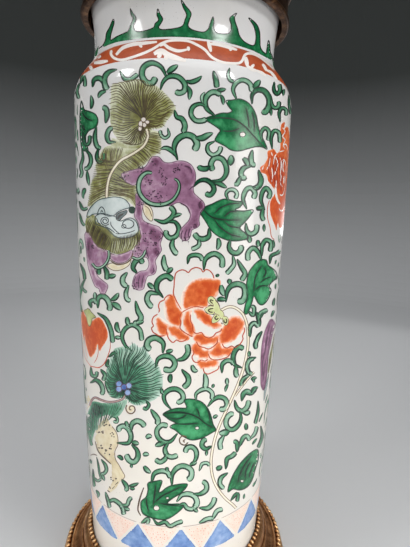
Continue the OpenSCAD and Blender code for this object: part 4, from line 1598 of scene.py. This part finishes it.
# clusters of spots, each with its reach and its count
SPOT_CLUSTERS = (
    (150, 181, 3.4, 8), (164, 182, 3.6, 8), (150, 195, 3.2, 7), (159, 198, 4.0, 9), (161, 172, 3.0, 6),
    (177, 169, 3.6, 9), (126, 177, 3.6, 8), (139, 170, 3.2, 6), (139, 204, 3.0, 6), (139, 250, 4.0, 10),
    (150, 232, 4.0, 8), (155, 244, 4.0, 7), (146, 242, 3.0, 5), (186, 238, 3.0, 5), (195, 226, 2.0, 3),
    (138, 286, 3.5, 6), (91, 246, 3.0, 6), (155, 163, 2.5, 4))
for x, y, reach_px, count in SPOT_CLUSTERS:
    for _ in range(round(count * 1.5)):
        spot = (x + rng.normal(0, reach_px * 0.75), y + rng.normal(0, reach_px * 0.75))
        dot("plum_ink", spot, rng.uniform(0.55, 0.8), 0.8, lift=0.25)
scarf = px("107,266 112,263 118,265 126,263 131,259 129,265 122,269.5 114,270.5")
patch = px("143,205 147,204.5 151,208 153,214 152,221 148,219 144,213")
for shape in (scarf, patch):
    wash("cream", shape, soft(0.55, 1.5), lift=0.02)
    line("brown_ink", shape, 0.75, True, tone=0.2)
lines("brown_ink", "144,205 149,209 152,217", 0.8, tone=0.2, lift=0.04)
lines("brown_ink", "110,260 116,263.8 124,263.8 130.3,260 133.4,252.5", 1.2, tone=0.3, lift=0.08)
path = smooth(px("""
152.5,173 146.5,172.8 140.8,177.8 138.6,186 140.3,194 146,200.8 154,204.4 164,204.2 172.5,200
177.6,193 179.4,186 177.8,181 174,178.4"""))
half = np.interp(np.linspace(0, 1, len(path)), (0, 0.15, 0.6, 1), (1.6, 2.4, 2.1, 1.2))
band(path, rounded(half, path), -0.08, lift=0.13)
for mark in each("92,263 96,267.5 101,267.5 106,263.5 109,257 109,250; 132,257 138,259 143,256 146,250"):
    path = smooth(mark)
    band(path, rounded(1.4, path), -0.2, lift=0.13)
print(len(SPOT_CLUSTERS), "clusters of spots")

# %% Lion face
skull = px("""
87,217 88.4,211.3 92.8,205 99,200 106.5,198 115.3,196.9 124,198.8 129,203.8 129.6,207.5 124,209.4
118,212 114,215.5 108,216 103,214 97.8,213.8 92.8,214.4 89,217""")
muzzle = px("""
96,216 95.3,221.3 97,224.4 102.8,226.5 107.8,229 111.5,233.1 116.5,237 124,238.1 132.8,236.3
137.8,233 138.4,227.5 136,221.3 131.5,218.1 126.5,218.8 120.3,221 116,217 109,215 102,213.5""")
for shape, tone in ((skull, 0.45), (muzzle, 0.3)):
    wash("ice_blue", shape, rim_dark(tone, 0.3, 1.2), 0.09, lift=0.08)
    line("face_ink", shape, 0.95, True, tone=0.4, lift=0.1)
turn, reach = np.linspace(0.6, 4.2 * np.pi, 26), np.linspace(5.0, 1.2, 26)
spiral = np.array((105.3, 220.8)) + (reach * np.stack((np.cos(turn), np.sin(turn) * 0.95))).T
line("face_ink", spiral, 0.95, lift=0.12, step=0.9)
lines("face_ink", """
97.1,215.6 99.4,209 102.1,206.9 104.6,210 105.3,214; 100.6,213 102,210.4 103.6,213; 110.9,221.3
111.5,225.6 116.5,231.3 120,233.6; 105,226 111.5,230 115.3,233.1; 115.3,233.3 120,233.8 126.5,233.1
132.8,231.3 135.3,230; 97,218 98,222 101,224.5""", 1.0, taper=0.3, tone=0.6, lift=0.12)
ring_line("face_ink", (128.4, 224), 5.6, 4.3, 1.0, 0.7, lift=0.12)
ring_line("face_ink", (124, 226.3), 2.2, 1.8, 0.9, 0.7, lift=0.12)
brow = px("116.5,219 117,214.4 121.5,212 127,210.4 126.5,213.8 123,217 119.6,220.6")
wash("face_ink", brow, soft(0.45, 1.4), 0.08, 1.8, lift=0.1)
lines("black_ink", "117.5,219.5 119.5,216 124,213.5", 2.0, taper=0.4, lift=0.14)
line("black_ink", brow, 0.7, True, lift=0.13)
dot("leaf_ink", (132.2, 210), 3.7, 0.6, lift=0.12)
print("face spiral has", len(spiral), "points")

# %% [markdown]
# ## The second and third lions
# The second lion crouches at the lower left: its plume is a deep green fan round a blue knot, and
# its body is bare cream with brown dots. Only a sliver of the third shows at the right edge.

# %% Second lion's plume
SECOND_ROOT = (124, 387)
fan = px("""
114,348.8 121,346.5 129,346 134,343 139,347 145.3,346 149,354 154,361 160.3,369 163,380 162,390
159,396.5 151.5,401.5 139,405.5 131.5,404 124,398 116.5,399 109,395.5 106,385 105,374 108.5,362.5
111.5,354""")
wash("fur_green", fan, towards(SECOND_ROOT, 1.0, 0.3, 30.0))
burst(fan, SECOND_ROOT, "leaf_ink", 60, 0.1, 12, (0.9, 0.15))
BLUE_KNOT = ((119, 383.8, 0.35), (119, 389, 0.3), (129, 385.6, 0.3), (127.8, 392.5, 0.25), (124, 387, 0.8))
for x, y, tone in BLUE_KNOT:
    dot("blue", (x, y), 3.3, tone, lift=0.12)
    ring_line("plum_ink", (x, y), 2.8, 2.8, 0.7, lift=0.07)
second_tail = px("125.3,395 122.8,398.8 116.5,401.3 109,402 101.5,400 95.3,397.5 92,400 89.6,406.3")
line("plum_ink", second_tail, 2.4, tone=0.4, lift=0.04)
line("pale_line", second_tail, 1.2, tone=0.5, lift=0.09)
print(len(BLUE_KNOT), "dots in the knot")

# %% Second lion's body
cub = px("""
106,418 110,423 114,428.8 117.8,436.3 117.8,443.8 114.6,451.3 115.3,458.8 119,465 122,471.3
124.6,476.3 120.3,481.3 116.5,487.5 110.3,492.5 107,490 111.5,482.5 111.5,475 111.5,466.3 109,462.5
102.8,456.3 97.8,450 95.3,442.5 94.6,435 97,427""")
haunch = px("84.6,397.5 88,395 91,400 89,409 86.5,416.3 85,408")
for shape in (cub, haunch):
    wash("cream", shape, rim_dark(0.5, 0.2, 2.0))
fur = px("""
127,400 124,409 119,416 113,418 108,415 104,416 100,418 97.5,424 99,431 95.5,430 93.5,436 91.5,445
88.5,437 86.8,426 87,416 89.5,408 93,401.5 104,403 115,402""")
wash("fur_green", fur, towards((91, 414), 1.05, 0.35, 34.0, 0.2), lift=0.05)
comb("leaf_ink", "124,402 121,409 114,416; 93,404 91,418 91,436", 16, 0.85, 0.4, (0.6, 0.1), 0.05, 14)
lines("brown_ink", "90,455.5 93.5,454.3 97.5,455.5", 1.3, taper=0.3, tone=0.4)
lines("brown_ink", "95,441 98.4,451.3 105.3,458.8 111.5,464.4", 1.4, taper=0.3, tone=0.5)
lines("brown_ink", """
112,426 117,434 118,444 115,451.3 115.5,459 119,465 122.4,471.3 124.8,476.5 120.5,481.5""", 0.8, tone=0.15)
rng = np.random.default_rng(15)
for x, y in ((106.5, 424), (101, 432), (113, 436), (101, 446.5), (111, 447), (107, 452), (113, 479)):
    for _ in range(5):
        spot = (x + rng.normal(0, 1.5), y + rng.normal(0, 1.5))
        dot("brown_ink", spot, rng.uniform(0.6, 0.95), 0.7, lift=0.16)
lines("brown_ink", """
107,490 110.3,492.5; 112,489 115,486; 115,485 118.5,481.5; 109,486 111,489""", 1.2, taper=0.4, tone=0.6)
dot("cream", (130.5, 408.8), 3.6, 0.4)
lines("brown_ink", """
127,404.5 126,408.5 128,412.5 132,413.5 135,410.5 134,406.5 130.5,406 129.5,409 131.8,410; 187,437
182.5,435.8 179.5,439 180.5,443.3 184.8,445 188.3,442; 185.6,439.3 183.3,440.8 185,442.4""",
      1.3, tone=0.4, lift=0.06, step=0.9)
lines("brown_ink", "144,487 141,495 139,502 138,510 141,516", 1.7, taper=0.4, tone=0.6)
print("second lion painted")

# %% Third lion
flank = px("""
271,319 266,328 263,338 261.3,350 260.7,362 260.7,374 261,386 264,390 266.5,378 267.5,366 268.5,354
270.5,344 272.5,334 275,324""")
flank_tone = rim_dark(0.55, 0.2, 1.5)
wash("aubergine", flank, flank_tone, grid=1.8, lift=0.02)
line("plum_ink", flank, 0.7, True, tone=0.2, lift=0.03)
edges = each("274,334 271.5,347 269.3,357 268.2,368 267.8,374; 268.4,374 266.6,381 264,391 263.6,401")
for coat, ink, wide, edge in zip(("olive", "ice_blue"), ("olive_ink", "face_ink"), (8.0, 6.0), edges):
    inner = unroll(smooth(edge, 3.0))
    swell = np.sin(np.linspace(0.15, 2.9, len(inner)))[:, None] * (wide, 0.0)
    rim = np.vstack((inner, (inner + swell)[::-1]))
    wash(coat, rim, flank_tone, grid=1.8, closed_line=False, on_sheet=True)
    for share in (0.0, 0.3, 0.6, 1.0):
        line(ink, inner + swell * share, 0.6, taper=0.4, tone=0.4, on_sheet=True, lift=0.05)
lines("plum_ink", """
270,324 267,335 265,346; 268,336 265.5,347 263.5,358; 264,352 262.5,364 262.5,376; 272,326 270,336
268,346; 265.5,360 264,370 263,382""", 1.0, taper=0.4, tone=0.5, lift=0.1)
print("lions painted")

# %% [markdown]
# ## Neck and shoulder borders
# A row of green flames licks up the neck, outlined in black. Below it, round the shoulder, runs an
# iron-red band with a white vine left bare in it.

# %% Flames
flame_foot = px("""
98.5,49.5 107,45.5 117,42 139,38.6 161.5,37 184,37 206,39.2 228.6,43 251,49.8 266.6,57.7 274.5,62""")
flame_tips = px("""
98.5,49 103,45 105.5,40 106.5,33.5 110,26.5 113.2,19.3 114.2,22 112.8,28 111,34 110.8,40 116,37
123.4,33.5 128,31 130,26 131.2,22.5 133,18.5 131,14.5 130.4,8.5 132.3,12 135.8,17 135.8,20.5 134,25
134.3,29.5 137.5,31.3 143.6,31 150.3,29 154,27 155.2,23.5 158.6,20 157,15 157.8,8.9 159.8,13.5
162.8,19 160.8,23.5 158.6,27.5 162,29.5 170.4,29 179,27.5 183.2,25 185,20 186.5,14.5 183,7 181.3,0
185.4,5.5 191,13 189.5,19.5 188,25.5 191,29 197.3,31.3 204,32 208.2,29 210,24 213,16.8 214,22
213.5,27 215.8,32 221,33.5 228,33.5 230.6,30.5 231,24.5 229.6,18.5 233,15 236.8,13.2 234.6,17
235.2,22 237.5,28.5 239.4,35.5 243,40.5 248,44 253.5,45.5 255.6,41 255.8,34 253.6,26 248.7,17.9
256,23.5 259.4,31 260,39 260.2,46 262,50.5 266,53.5 266.8,49 268.5,40.3 269.8,46 270.2,51.5 272,56
274.5,62""")


def paint_flames(tips, foot):
    """A stretch of the flame border."""
    loop = np.vstack((smooth(tips, 1.1), smooth(foot[::-1], 2.0)[1:-1]))
    wash("leaf_green", loop, rim_dark(0.45, 0.25, 1.5), grid=2.0, closed_line=False, grow=0.3)
    line("black_ink", tips, 0.95)


paint_flames(flame_tips, flame_foot)
print("flame border of", len(flame_tips), "points")

# %% Shoulder vine
vine = px("""
112,50 111,54 114,58 120,60 127,59 142,54 153,49 163,43 173,40.5 187,41 197,45 205,50 212,57.5
223,62.5 237,63.5 242,61 245,55 250,53.5 258,56 268,63.5 278,73.5 288,87""")
vine_sprays = strokes("""
3 116,55 123,48 133,44.5 142,43.5 157,42
2.2 139,44 142,47.5
2.6 160,46 164,44.5 169,48 178,51 188,49.5
4 187,49 190,48.5
5 154,54 161,51 168,55 176,58 186,61
3.6 158,58 161,53
3.4 166,60 166,55
3 174,60 172,56
2.6 181,61 179,58
3 208,41 210,48 211,52
3 210,44 218,44.5 228,47 237,50
2.2 230,48 231,51
3.2 245.5,57 246.5,62 247.5,67
2.6 247,66 252,69.5 257,71
2.2 251,68 254,64.5
2 256,70.5 262,73 266,76
2.2 262.5,64 264.5,67 266.5,71
1.8 266,70 271,72.5 277,80
4 86,69 92,63 97,58 101,56
3 94,63 102,62 108,61
2.6 90,66 92,70""")


def paint_vine(stalk, sprays):
    """A stretch of the white vine."""
    line("reserve_white", stalk, 2.6, tone=0.2, lift=0.05)
    for wide, _, route in sprays:
        path = smooth(route, 1.0)
        share = share_of(path)
        half = np.maximum(wide / 2 * np.sin(np.pi * np.clip(0.1 + 0.85 * share, 0, 1)) ** 0.6, 0.2)
        ribbon("reserve_white", path, half + 0.4, 0.2, (0.09, 0.13, 0.09))


paint_vine(vine, vine_sprays)
print(len(vine_sprays), "sprays on the vine")

# %% [markdown]
# ## Round the back
# The picture shows less than half of the wall. Such vases repeat their scene, so the back carries
# the same composition turned half round. At each side the two are joined: leaves and a stretch of
# both borders are painted again, and scrolls from the front are tried at random places, with a
# fixed seed, and kept wherever the porcelain is still bare.

# %% Repeat the scene behind
HALF_TURN = math.pi * SHEET_R
SHEET_LEFT = -HALF_TURN * 104 / 180
for store in coats.values():
    count = store["count"]
    store["points"] += [p + np.array((HALF_TURN, 0, 0)) for p in store["points"]]
    store["tones"] += list(store["tones"])
    store["faces"] += [tuple(i + count for i in face) for face in store["faces"]]
    store["count"] = 2 * count
print("half a turn is", round(HALF_TURN, 1), "mm on the sheet")

# %% Leaves and borders at the sides
side_flame_foot = px("137,38.8 161.5,37 184,37 206,39.2 229,43")
SIDE_LEAVES = (("low_middle", 6.0, 0.0), ("middle", -10.0, -58.0))
for side in (-0.5, 0.5):
    for name, along, over in SIDE_LEAVES:
        brush_shift[:] = side * HALF_TURN + along, over
        paint_leaf(*leaves[name])
    brush_shift[:] = side * HALF_TURN + 6.0, 0.0
    paint_flames([p for p in flame_tips if 137 < p[0] < 229], side_flame_foot)
    paint_vine([p for p in vine if 140 < p[0] < 225], [s for s in vine_sprays if 150 < s[2][0][0] < 212])
print(2 * len(SIDE_LEAVES), "leaves at the sides")

# %% Scrolls at the sides
SIDE_REACH, SIDE_LOW, SIDE_HIGH, TRIES, FILL_SEED = 62.0, 86.0, 375.0, 60, 41


def sheet_cells(points):
    """Rows and columns, one for each mm, where points lie on the sheet."""
    column = np.round(points[:, 0] - SHEET_LEFT).astype(int) % round(2 * HALF_TURN)
    return np.clip(np.round(points[:, 1]).astype(int), 0, 459), column


def take(points, reach):
    """Marks the sheet as painted round these points."""
    for over in range(-reach, reach + 1):
        for along in range(-reach, reach + 1):
            if over * over + along * along <= reach * reach + 1:
                taken[sheet_cells(points + (along, over))] = True


taken = np.zeros((460, round(2 * HALF_TURN)), bool)
for store in coats.values():
    take(np.vstack(store["points"])[:, :2], 3)
rng = np.random.default_rng(FILL_SEED)
motifs.sort(key=lambda m: -run_of(np.array(m[1][2], float))[-1])
filled = 0
for brush, motif in motifs:
    flat = unroll(smooth(motif[2]))
    for _ in range(TRIES):
        side = rng.choice((-0.5, 0.5)) * HALF_TURN
        aim = np.array((side + rng.uniform(-SIDE_REACH, SIDE_REACH), rng.uniform(SIDE_LOW, SIDE_HIGH)))
        move = aim - flat.mean(0)
        spot = flat + move
        if spot[:, 1].min() < SIDE_LOW or spot[:, 1].max() > SIDE_HIGH or taken[sheet_cells(spot)].any():
            continue
        brush_shift[:] = move
        brush(*motif)
        take(spot, 4)
        filled += 1
brush_shift[:] = 0.0, 0.0
print(filled, "scrolls fill the sides")

# %% Red band
BAND_LOW, BAND_HIGH, BAND_ROWS, BAND_STEPS = 382.4, 397.6, 8, 240
xs = np.linspace(SHEET_LEFT, SHEET_LEFT + 2 * HALF_TURN, BAND_STEPS + 1)
ys = np.linspace(BAND_LOW, BAND_HIGH, BAND_ROWS + 1)
points = np.array([(x, y) for y in ys for x in xs])
rise = np.repeat([EDGE_SINK] + [0.07] * (BAND_ROWS - 1) + [EDGE_SINK], BAND_STEPS + 1)
lay("band_red", points, np.full(len(points), 0.62), rise, grid_faces(BAND_ROWS + 1, BAND_STEPS + 1), True)
print("red band is", round(BAND_HIGH - BAND_LOW, 1), "mm high")

# %% [markdown]
# ## The foot border
# Above the socle runs a row of blue triangles that stand on their base, with pale pink ones hanging
# between them. The pink ones are stippled with small red dots. The dots are scattered by a geometry
# tree, with a fixed seed, so that they never change.

# %% Triangles
APEX_PIXELS = px("103,507 138,523 181,528 220,521 251,500")
TRIANGLES, APEX_Z, BASE_Z = 14, 80.0, 58.5
BLUE_SEAM, PINK_SEAM, PINK_RISE = 0.3, 1.6, 0.4
seen = unroll(APEX_PIXELS)[:, 0]
rest = TRIANGLES - len(seen)
step_on = (seen[0] + 2 * HALF_TURN - seen[-1]) / (rest + 1)
apexes = list(seen) + [seen[-1] + step_on * (k + 1) for k in range(rest)]
apexes.append(apexes[0] + 2 * HALF_TURN)
pink_shapes = []
for k in range(TRIANGLES):
    here, after = apexes[k], apexes[k + 1]
    before = apexes[k - 1] if k else apexes[-2] - 2 * HALF_TURN
    left, right_foot = (before + here) / 2, (here + after) / 2
    blue = np.array([(here, APEX_Z), (left + BLUE_SEAM, BASE_Z), (right_foot - BLUE_SEAM, BASE_Z)])
    pink = np.array([(here + PINK_SEAM, APEX_Z + PINK_RISE), (right_foot, BASE_Z + PINK_SEAM),
                     (after - PINK_SEAM, APEX_Z + PINK_RISE)])
    pink_shapes.append(pink)
    for coat, shape in (("blue", blue), ("pink", pink)):
        sides = zip(shape, np.roll(shape, -1, axis=0))
        loop = np.vstack([np.linspace(a, b, 14, endpoint=False) for a, b in sides])
        wash(coat, loop, rim_dark(0.45, 0.2, 1.0), 0.07, 2.2, False, True)
    pale = [(here + 1.0, APEX_Z + 1.0), (right_foot, APEX_Z + 1.2), (after - 1.0, APEX_Z + 1.0)]
    line("pale_line", pale, 0.5, on_sheet=True)
print(TRIANGLES, "triangles")

# %% Stipple tree
stipple, given, out = new_group(
    "stippled", "GeometryNodeTree",
    [("Cloth", "Geometry"), ("Spacing", "Float", 0.002), ("Dot", "Float", 0.0004),
     ("Lift", "Float", 0.0001), ("Seed", "Int", 2), ("Finish", "Material")],
    [("Dots", "Geometry")])
scattered = put(stipple, "GeometryNodeDistributePointsOnFaces", {
    "Mesh": given["Cloth"], "Distance Min": given["Spacing"], "Density Max": 400000.0,
    "Seed": given["Seed"]}, distribute_method="POISSON")["Points"]
spot = put(stipple, "GeometryNodeMeshCircle", {"Vertices": 7, "Radius": given["Dot"]},
           fill_type="NGON")[0]
spot_size = put(stipple, "FunctionNodeRandomValue", {2: 0.6, 3: 1.25, "Seed": given["Seed"]},
                data_type="FLOAT")[1]
spots = put(stipple, "GeometryNodeInstanceOnPoints",
            {"Points": scattered, "Instance": spot, "Scale": spot_size})[0]
lift = put(stipple, "ShaderNodeCombineXYZ", {2: given["Lift"]})[0]
proud = put(stipple, "GeometryNodeSetPosition", {"Geometry": spots, "Offset": lift})[0]
end_tree(stipple, proud, given["Finish"], out)
print("stipple tree of", len(stipple.nodes), "nodes")

# %% [markdown]
# ## Firing the enamels
# Each coat becomes one flat sheet, is wrapped on the porcelain by the tree above and settles into a
# plain mesh. The enamels differ in how they take the light: the greens, blues and aubergine are
# glassy, iron-red is a thin dry colour, and the inks lie flat.

# %% Enamel finishes
enamels = {name: enamel_finish(name, *given) for name, given in {
    "scroll_green": ((172, 207, 183), (86, 148, 110), (16, 78, 50)),
    "scroll_ink": ((26, 68, 48), (10, 44, 30), (4, 28, 18), 0.3, 0.35),
    "leaf_green": ((76, 170, 114), (26, 112, 66), (4, 56, 32), 0.45),
    "leaf_ink": ((44, 98, 72), (16, 58, 40), (8, 32, 22), 0.3, 0.35),
    "black_ink": ((60, 58, 52), (34, 34, 30), (20, 22, 20)),
    "band_red": ((206, 116, 66), (184, 80, 34), (160, 62, 26), 0.4, 0.34),
    "peony_red": ((252, 236, 222), (236, 126, 66), (208, 78, 22), 0.5, 0.34),
    "red_line": ((226, 142, 104), (200, 80, 44), (168, 54, 24), 0.4, 0.36),
    "calyx_green": ((232, 234, 190), (214, 220, 160), (180, 188, 120)),
    "brown_ink": ((140, 112, 84), (90, 68, 46), (44, 32, 24), 0.3, 0.3),
    "cream": ((246, 239, 220), (236, 223, 188), (206, 184, 138), 0.35),
    "olive": ((226, 228, 198), (150, 152, 92), (76, 66, 36), 0.35),
    "olive_ink": ((150, 142, 86), (92, 80, 42), (52, 40, 22), 0.3, 0.4),
    "reserve_white": ((250, 244, 238), (242, 234, 226), (224, 216, 206), 0.3, 0.18),
    "aubergine": ((228, 204, 216), (164, 119, 149), (104, 58, 86), 0.35),
    "plum_ink": ((140, 100, 128), (92, 56, 82), (38, 22, 36), 0.3, 0.35),
    "ice_blue": ((228, 234, 232), (206, 217, 214), (152, 175, 176)),
    "face_ink": ((112, 128, 128), (66, 80, 82), (30, 38, 42)),
    "fur_green": ((206, 226, 214), (96, 160, 126), (24, 66, 50)),
    "blue": ((176, 198, 232), (124, 158, 210), (72, 104, 174), 0.4),
    "pink": ((253, 240, 230), (250, 228, 214), (244, 208, 188), 0.4, 0.24),
    "pale_line": ((214, 198, 184), (190, 160, 148), (150, 120, 108)),
}.items()}
print(len(enamels), "enamels")

# %% Fire the coats
def sheet_object(name, store):
    """A coat as a flat sheet, with its tone and a map that is the sheet itself."""
    points = np.vstack(store["points"])
    obj = mesh_object("painted_" + name, points * MM, (), store["faces"])
    obj.data.attributes.new("tone", "FLOAT", "POINT").data.foreach_set(
        "value", np.concatenate(store["tones"]).astype(np.float32))
    spread_map = obj.data.uv_layers.new(name="OFBake")
    corner = np.zeros(len(obj.data.loops), np.int32)
    obj.data.loops.foreach_get("vertex_index", corner)
    flat = (points[corner, :2] - (SHEET_LEFT, 0.0)) / (2 * HALF_TURN, 456.0)
    spread_map.data.foreach_set("uv", flat.astype(np.float32).ravel())
    return obj


def fire(obj, finish):
    """Wraps a sheet on the porcelain and hands it over."""
    apply_tree(obj, wrap, Radius_Table=radius_table, Table_Step=MM, Sheet_Radius=SHEET_R * MM,
               Finish=finish)
    settle(obj)
    obj.data.shade_smooth()
    return hand_over(obj, "vase", "porcelain")


for name, store in coats.items():
    piece = fire(sheet_object(name, store), enamels[name])
    print(piece.name, len(piece.data.polygons), "faces")

STIPPLED_SHARE = 0.86
cloths = [shape.mean(0) + (shape - shape.mean(0)) * STIPPLED_SHARE for shape in pink_shapes]
dots = mesh_object("painted_stipple", [(x * MM, y * MM, 0) for cloth in cloths for x, y in cloth], (),
                   [(3 * k, 3 * k + 1, 3 * k + 2) for k in range(len(cloths))])
apply_tree(dots, stipple, Spacing=1.5 * MM, Dot=0.34 * MM, Lift=0.11 * MM, Seed=2,
           Finish=enamels["red_line"])
fire(dots, enamels["red_line"])
bpy.data.objects.remove(radius_table)
print("stipple has", len(dots.data.polygons), "dots")

# %% [markdown]
# ## Floor, backdrop and light
# The vase stands on an even pale floor that sweeps up all round into a wall, so every view has the
# same calm ground; the wall is painted darker with height, as painted shade where light falls off.
# Two soft boxes stand in front, left and right and above the eye: they give the two pairs of
# highlights on the shoulder and the neck. A wide box overhead lights the floor and leaves the neck
# in the collar's shade. A low fill in front brightens the foot: a grid keeps its beam narrow, and it
# is hidden from the glaze's reflections. Two gridded boxes at the sides lift the edges, one behind
# lights the back, and a small one draws the short white line on the right. The plain Standard view
# keeps the colours as they are.

# %% Floor and backdrop
SWEEP_R, SWEEP_ROUND, WALL_TOP = 1.7, 0.5, 2.4
backdrop, tree, shader, place = new_material("grey_paper", Roughness=0.9)
# painted shade: the paper is pale on the floor and painted darker up the wall, where the light falls off
height = spread(tree, axes(tree, place)[2], 0.0, 0.9)
fill(tree, shader, {"Base Color": blend_colour(tree, height, srgb(198, 199, 200), srgb(70, 73, 71))})

sweep_line = [(0.0, 0.0), (0.4, 0.0), (0.8, 0.0), (SWEEP_R - SWEEP_ROUND, 0.0)]
sweep_line += arc((SWEEP_R - SWEEP_ROUND, SWEEP_ROUND), SWEEP_ROUND, -90, 0, 16)[1:]
sweep_line += [(SWEEP_R, 1.2), (SWEEP_R, WALL_TOP)]
TURNS = 96
ring_points = [(r * math.cos(a), r * math.sin(a), z) for r, z in sweep_line[1:]
               for a in np.linspace(0, 2 * math.pi, TURNS, endpoint=False)]
ring_faces = [(j * TURNS + i, j * TURNS + (i + 1) % TURNS, (j + 1) * TURNS + (i + 1) % TURNS,
               (j + 1) * TURNS + i) for j in range(len(sweep_line) - 2) for i in range(TURNS)]
ring_faces.append(tuple(range(TURNS)))
sweep = mesh_object("floor_and_sweep", ring_points, (), ring_faces)
face_outwards(sweep.data, inside_out=True)
sweep.data.materials.append(backdrop)
print("backdrop radius in m:", SWEEP_R)

# %% Lights
def soft_box(name, place, aim, size, watts, grid=180, in_glaze=True, colour=(1.0, 1.0, 1.0)):
    """An area light that looks at a point. A grid narrows its beam to so many degrees."""
    lamp = bpy.data.lights.new(name, "AREA")
    lamp.shape = "RECTANGLE"
    lamp.size, lamp.size_y = size
    lamp.energy = watts
    lamp.color = colour
    lamp.spread = math.radians(grid)
    obj = bpy.data.objects.new(name, lamp)
    obj.location = place
    obj.rotation_euler = (Vector(aim) - Vector(place)).to_track_quat("-Z", "Y").to_euler()
    obj.visible_camera = False
    obj.visible_glossy = in_glaze
    scene.collection.objects.link(obj)


middle, foot, warm = (0.0, 0.0, 0.25), (0.0, 0.0, 0.1), (1.0, 0.985, 0.96)
soft_box("left_box", (-0.86, -0.46, 0.95), middle, (0.26, 0.26), 3.2)
soft_box("right_box", (0.66, -0.71, 1.0), middle, (0.26, 0.26), 4.8)
soft_box("top_box", (0.0, -0.35, 1.6), (0.0, 0.0, 0.2), (1.4, 1.4), 8.0)
soft_box("low_fill", (0.1, -1.2, 0.4), (0.0, 0.0, 0.03), (0.5, 0.3), 0.28, 28, False, warm)
soft_box("left_side", (-0.8, -0.42, 0.34), foot, (0.4, 0.4), 0.4, 100)
soft_box("right_side", (0.8, -0.38, 0.34), foot, (0.4, 0.4), 0.7, 100, colour=warm)
soft_box("back_fill", (-0.1, 1.3, 1.1), (0.0, 0.0, 0.2), (0.9, 0.9), 3.0)
soft_box("right_glint", (0.6, 0.8, 0.27), (0.075, 0.0, 0.29), (0.3, 0.08), 0.3)

world = bpy.data.worlds.new("studio")
scene.world = world
world.use_nodes = True
fill(world.node_tree, world.node_tree.nodes["Background"],
     {"Color": (0.92, 0.95, 1.0, 1.0), "Strength": 0.43})
scene.view_settings.view_transform = "Standard"
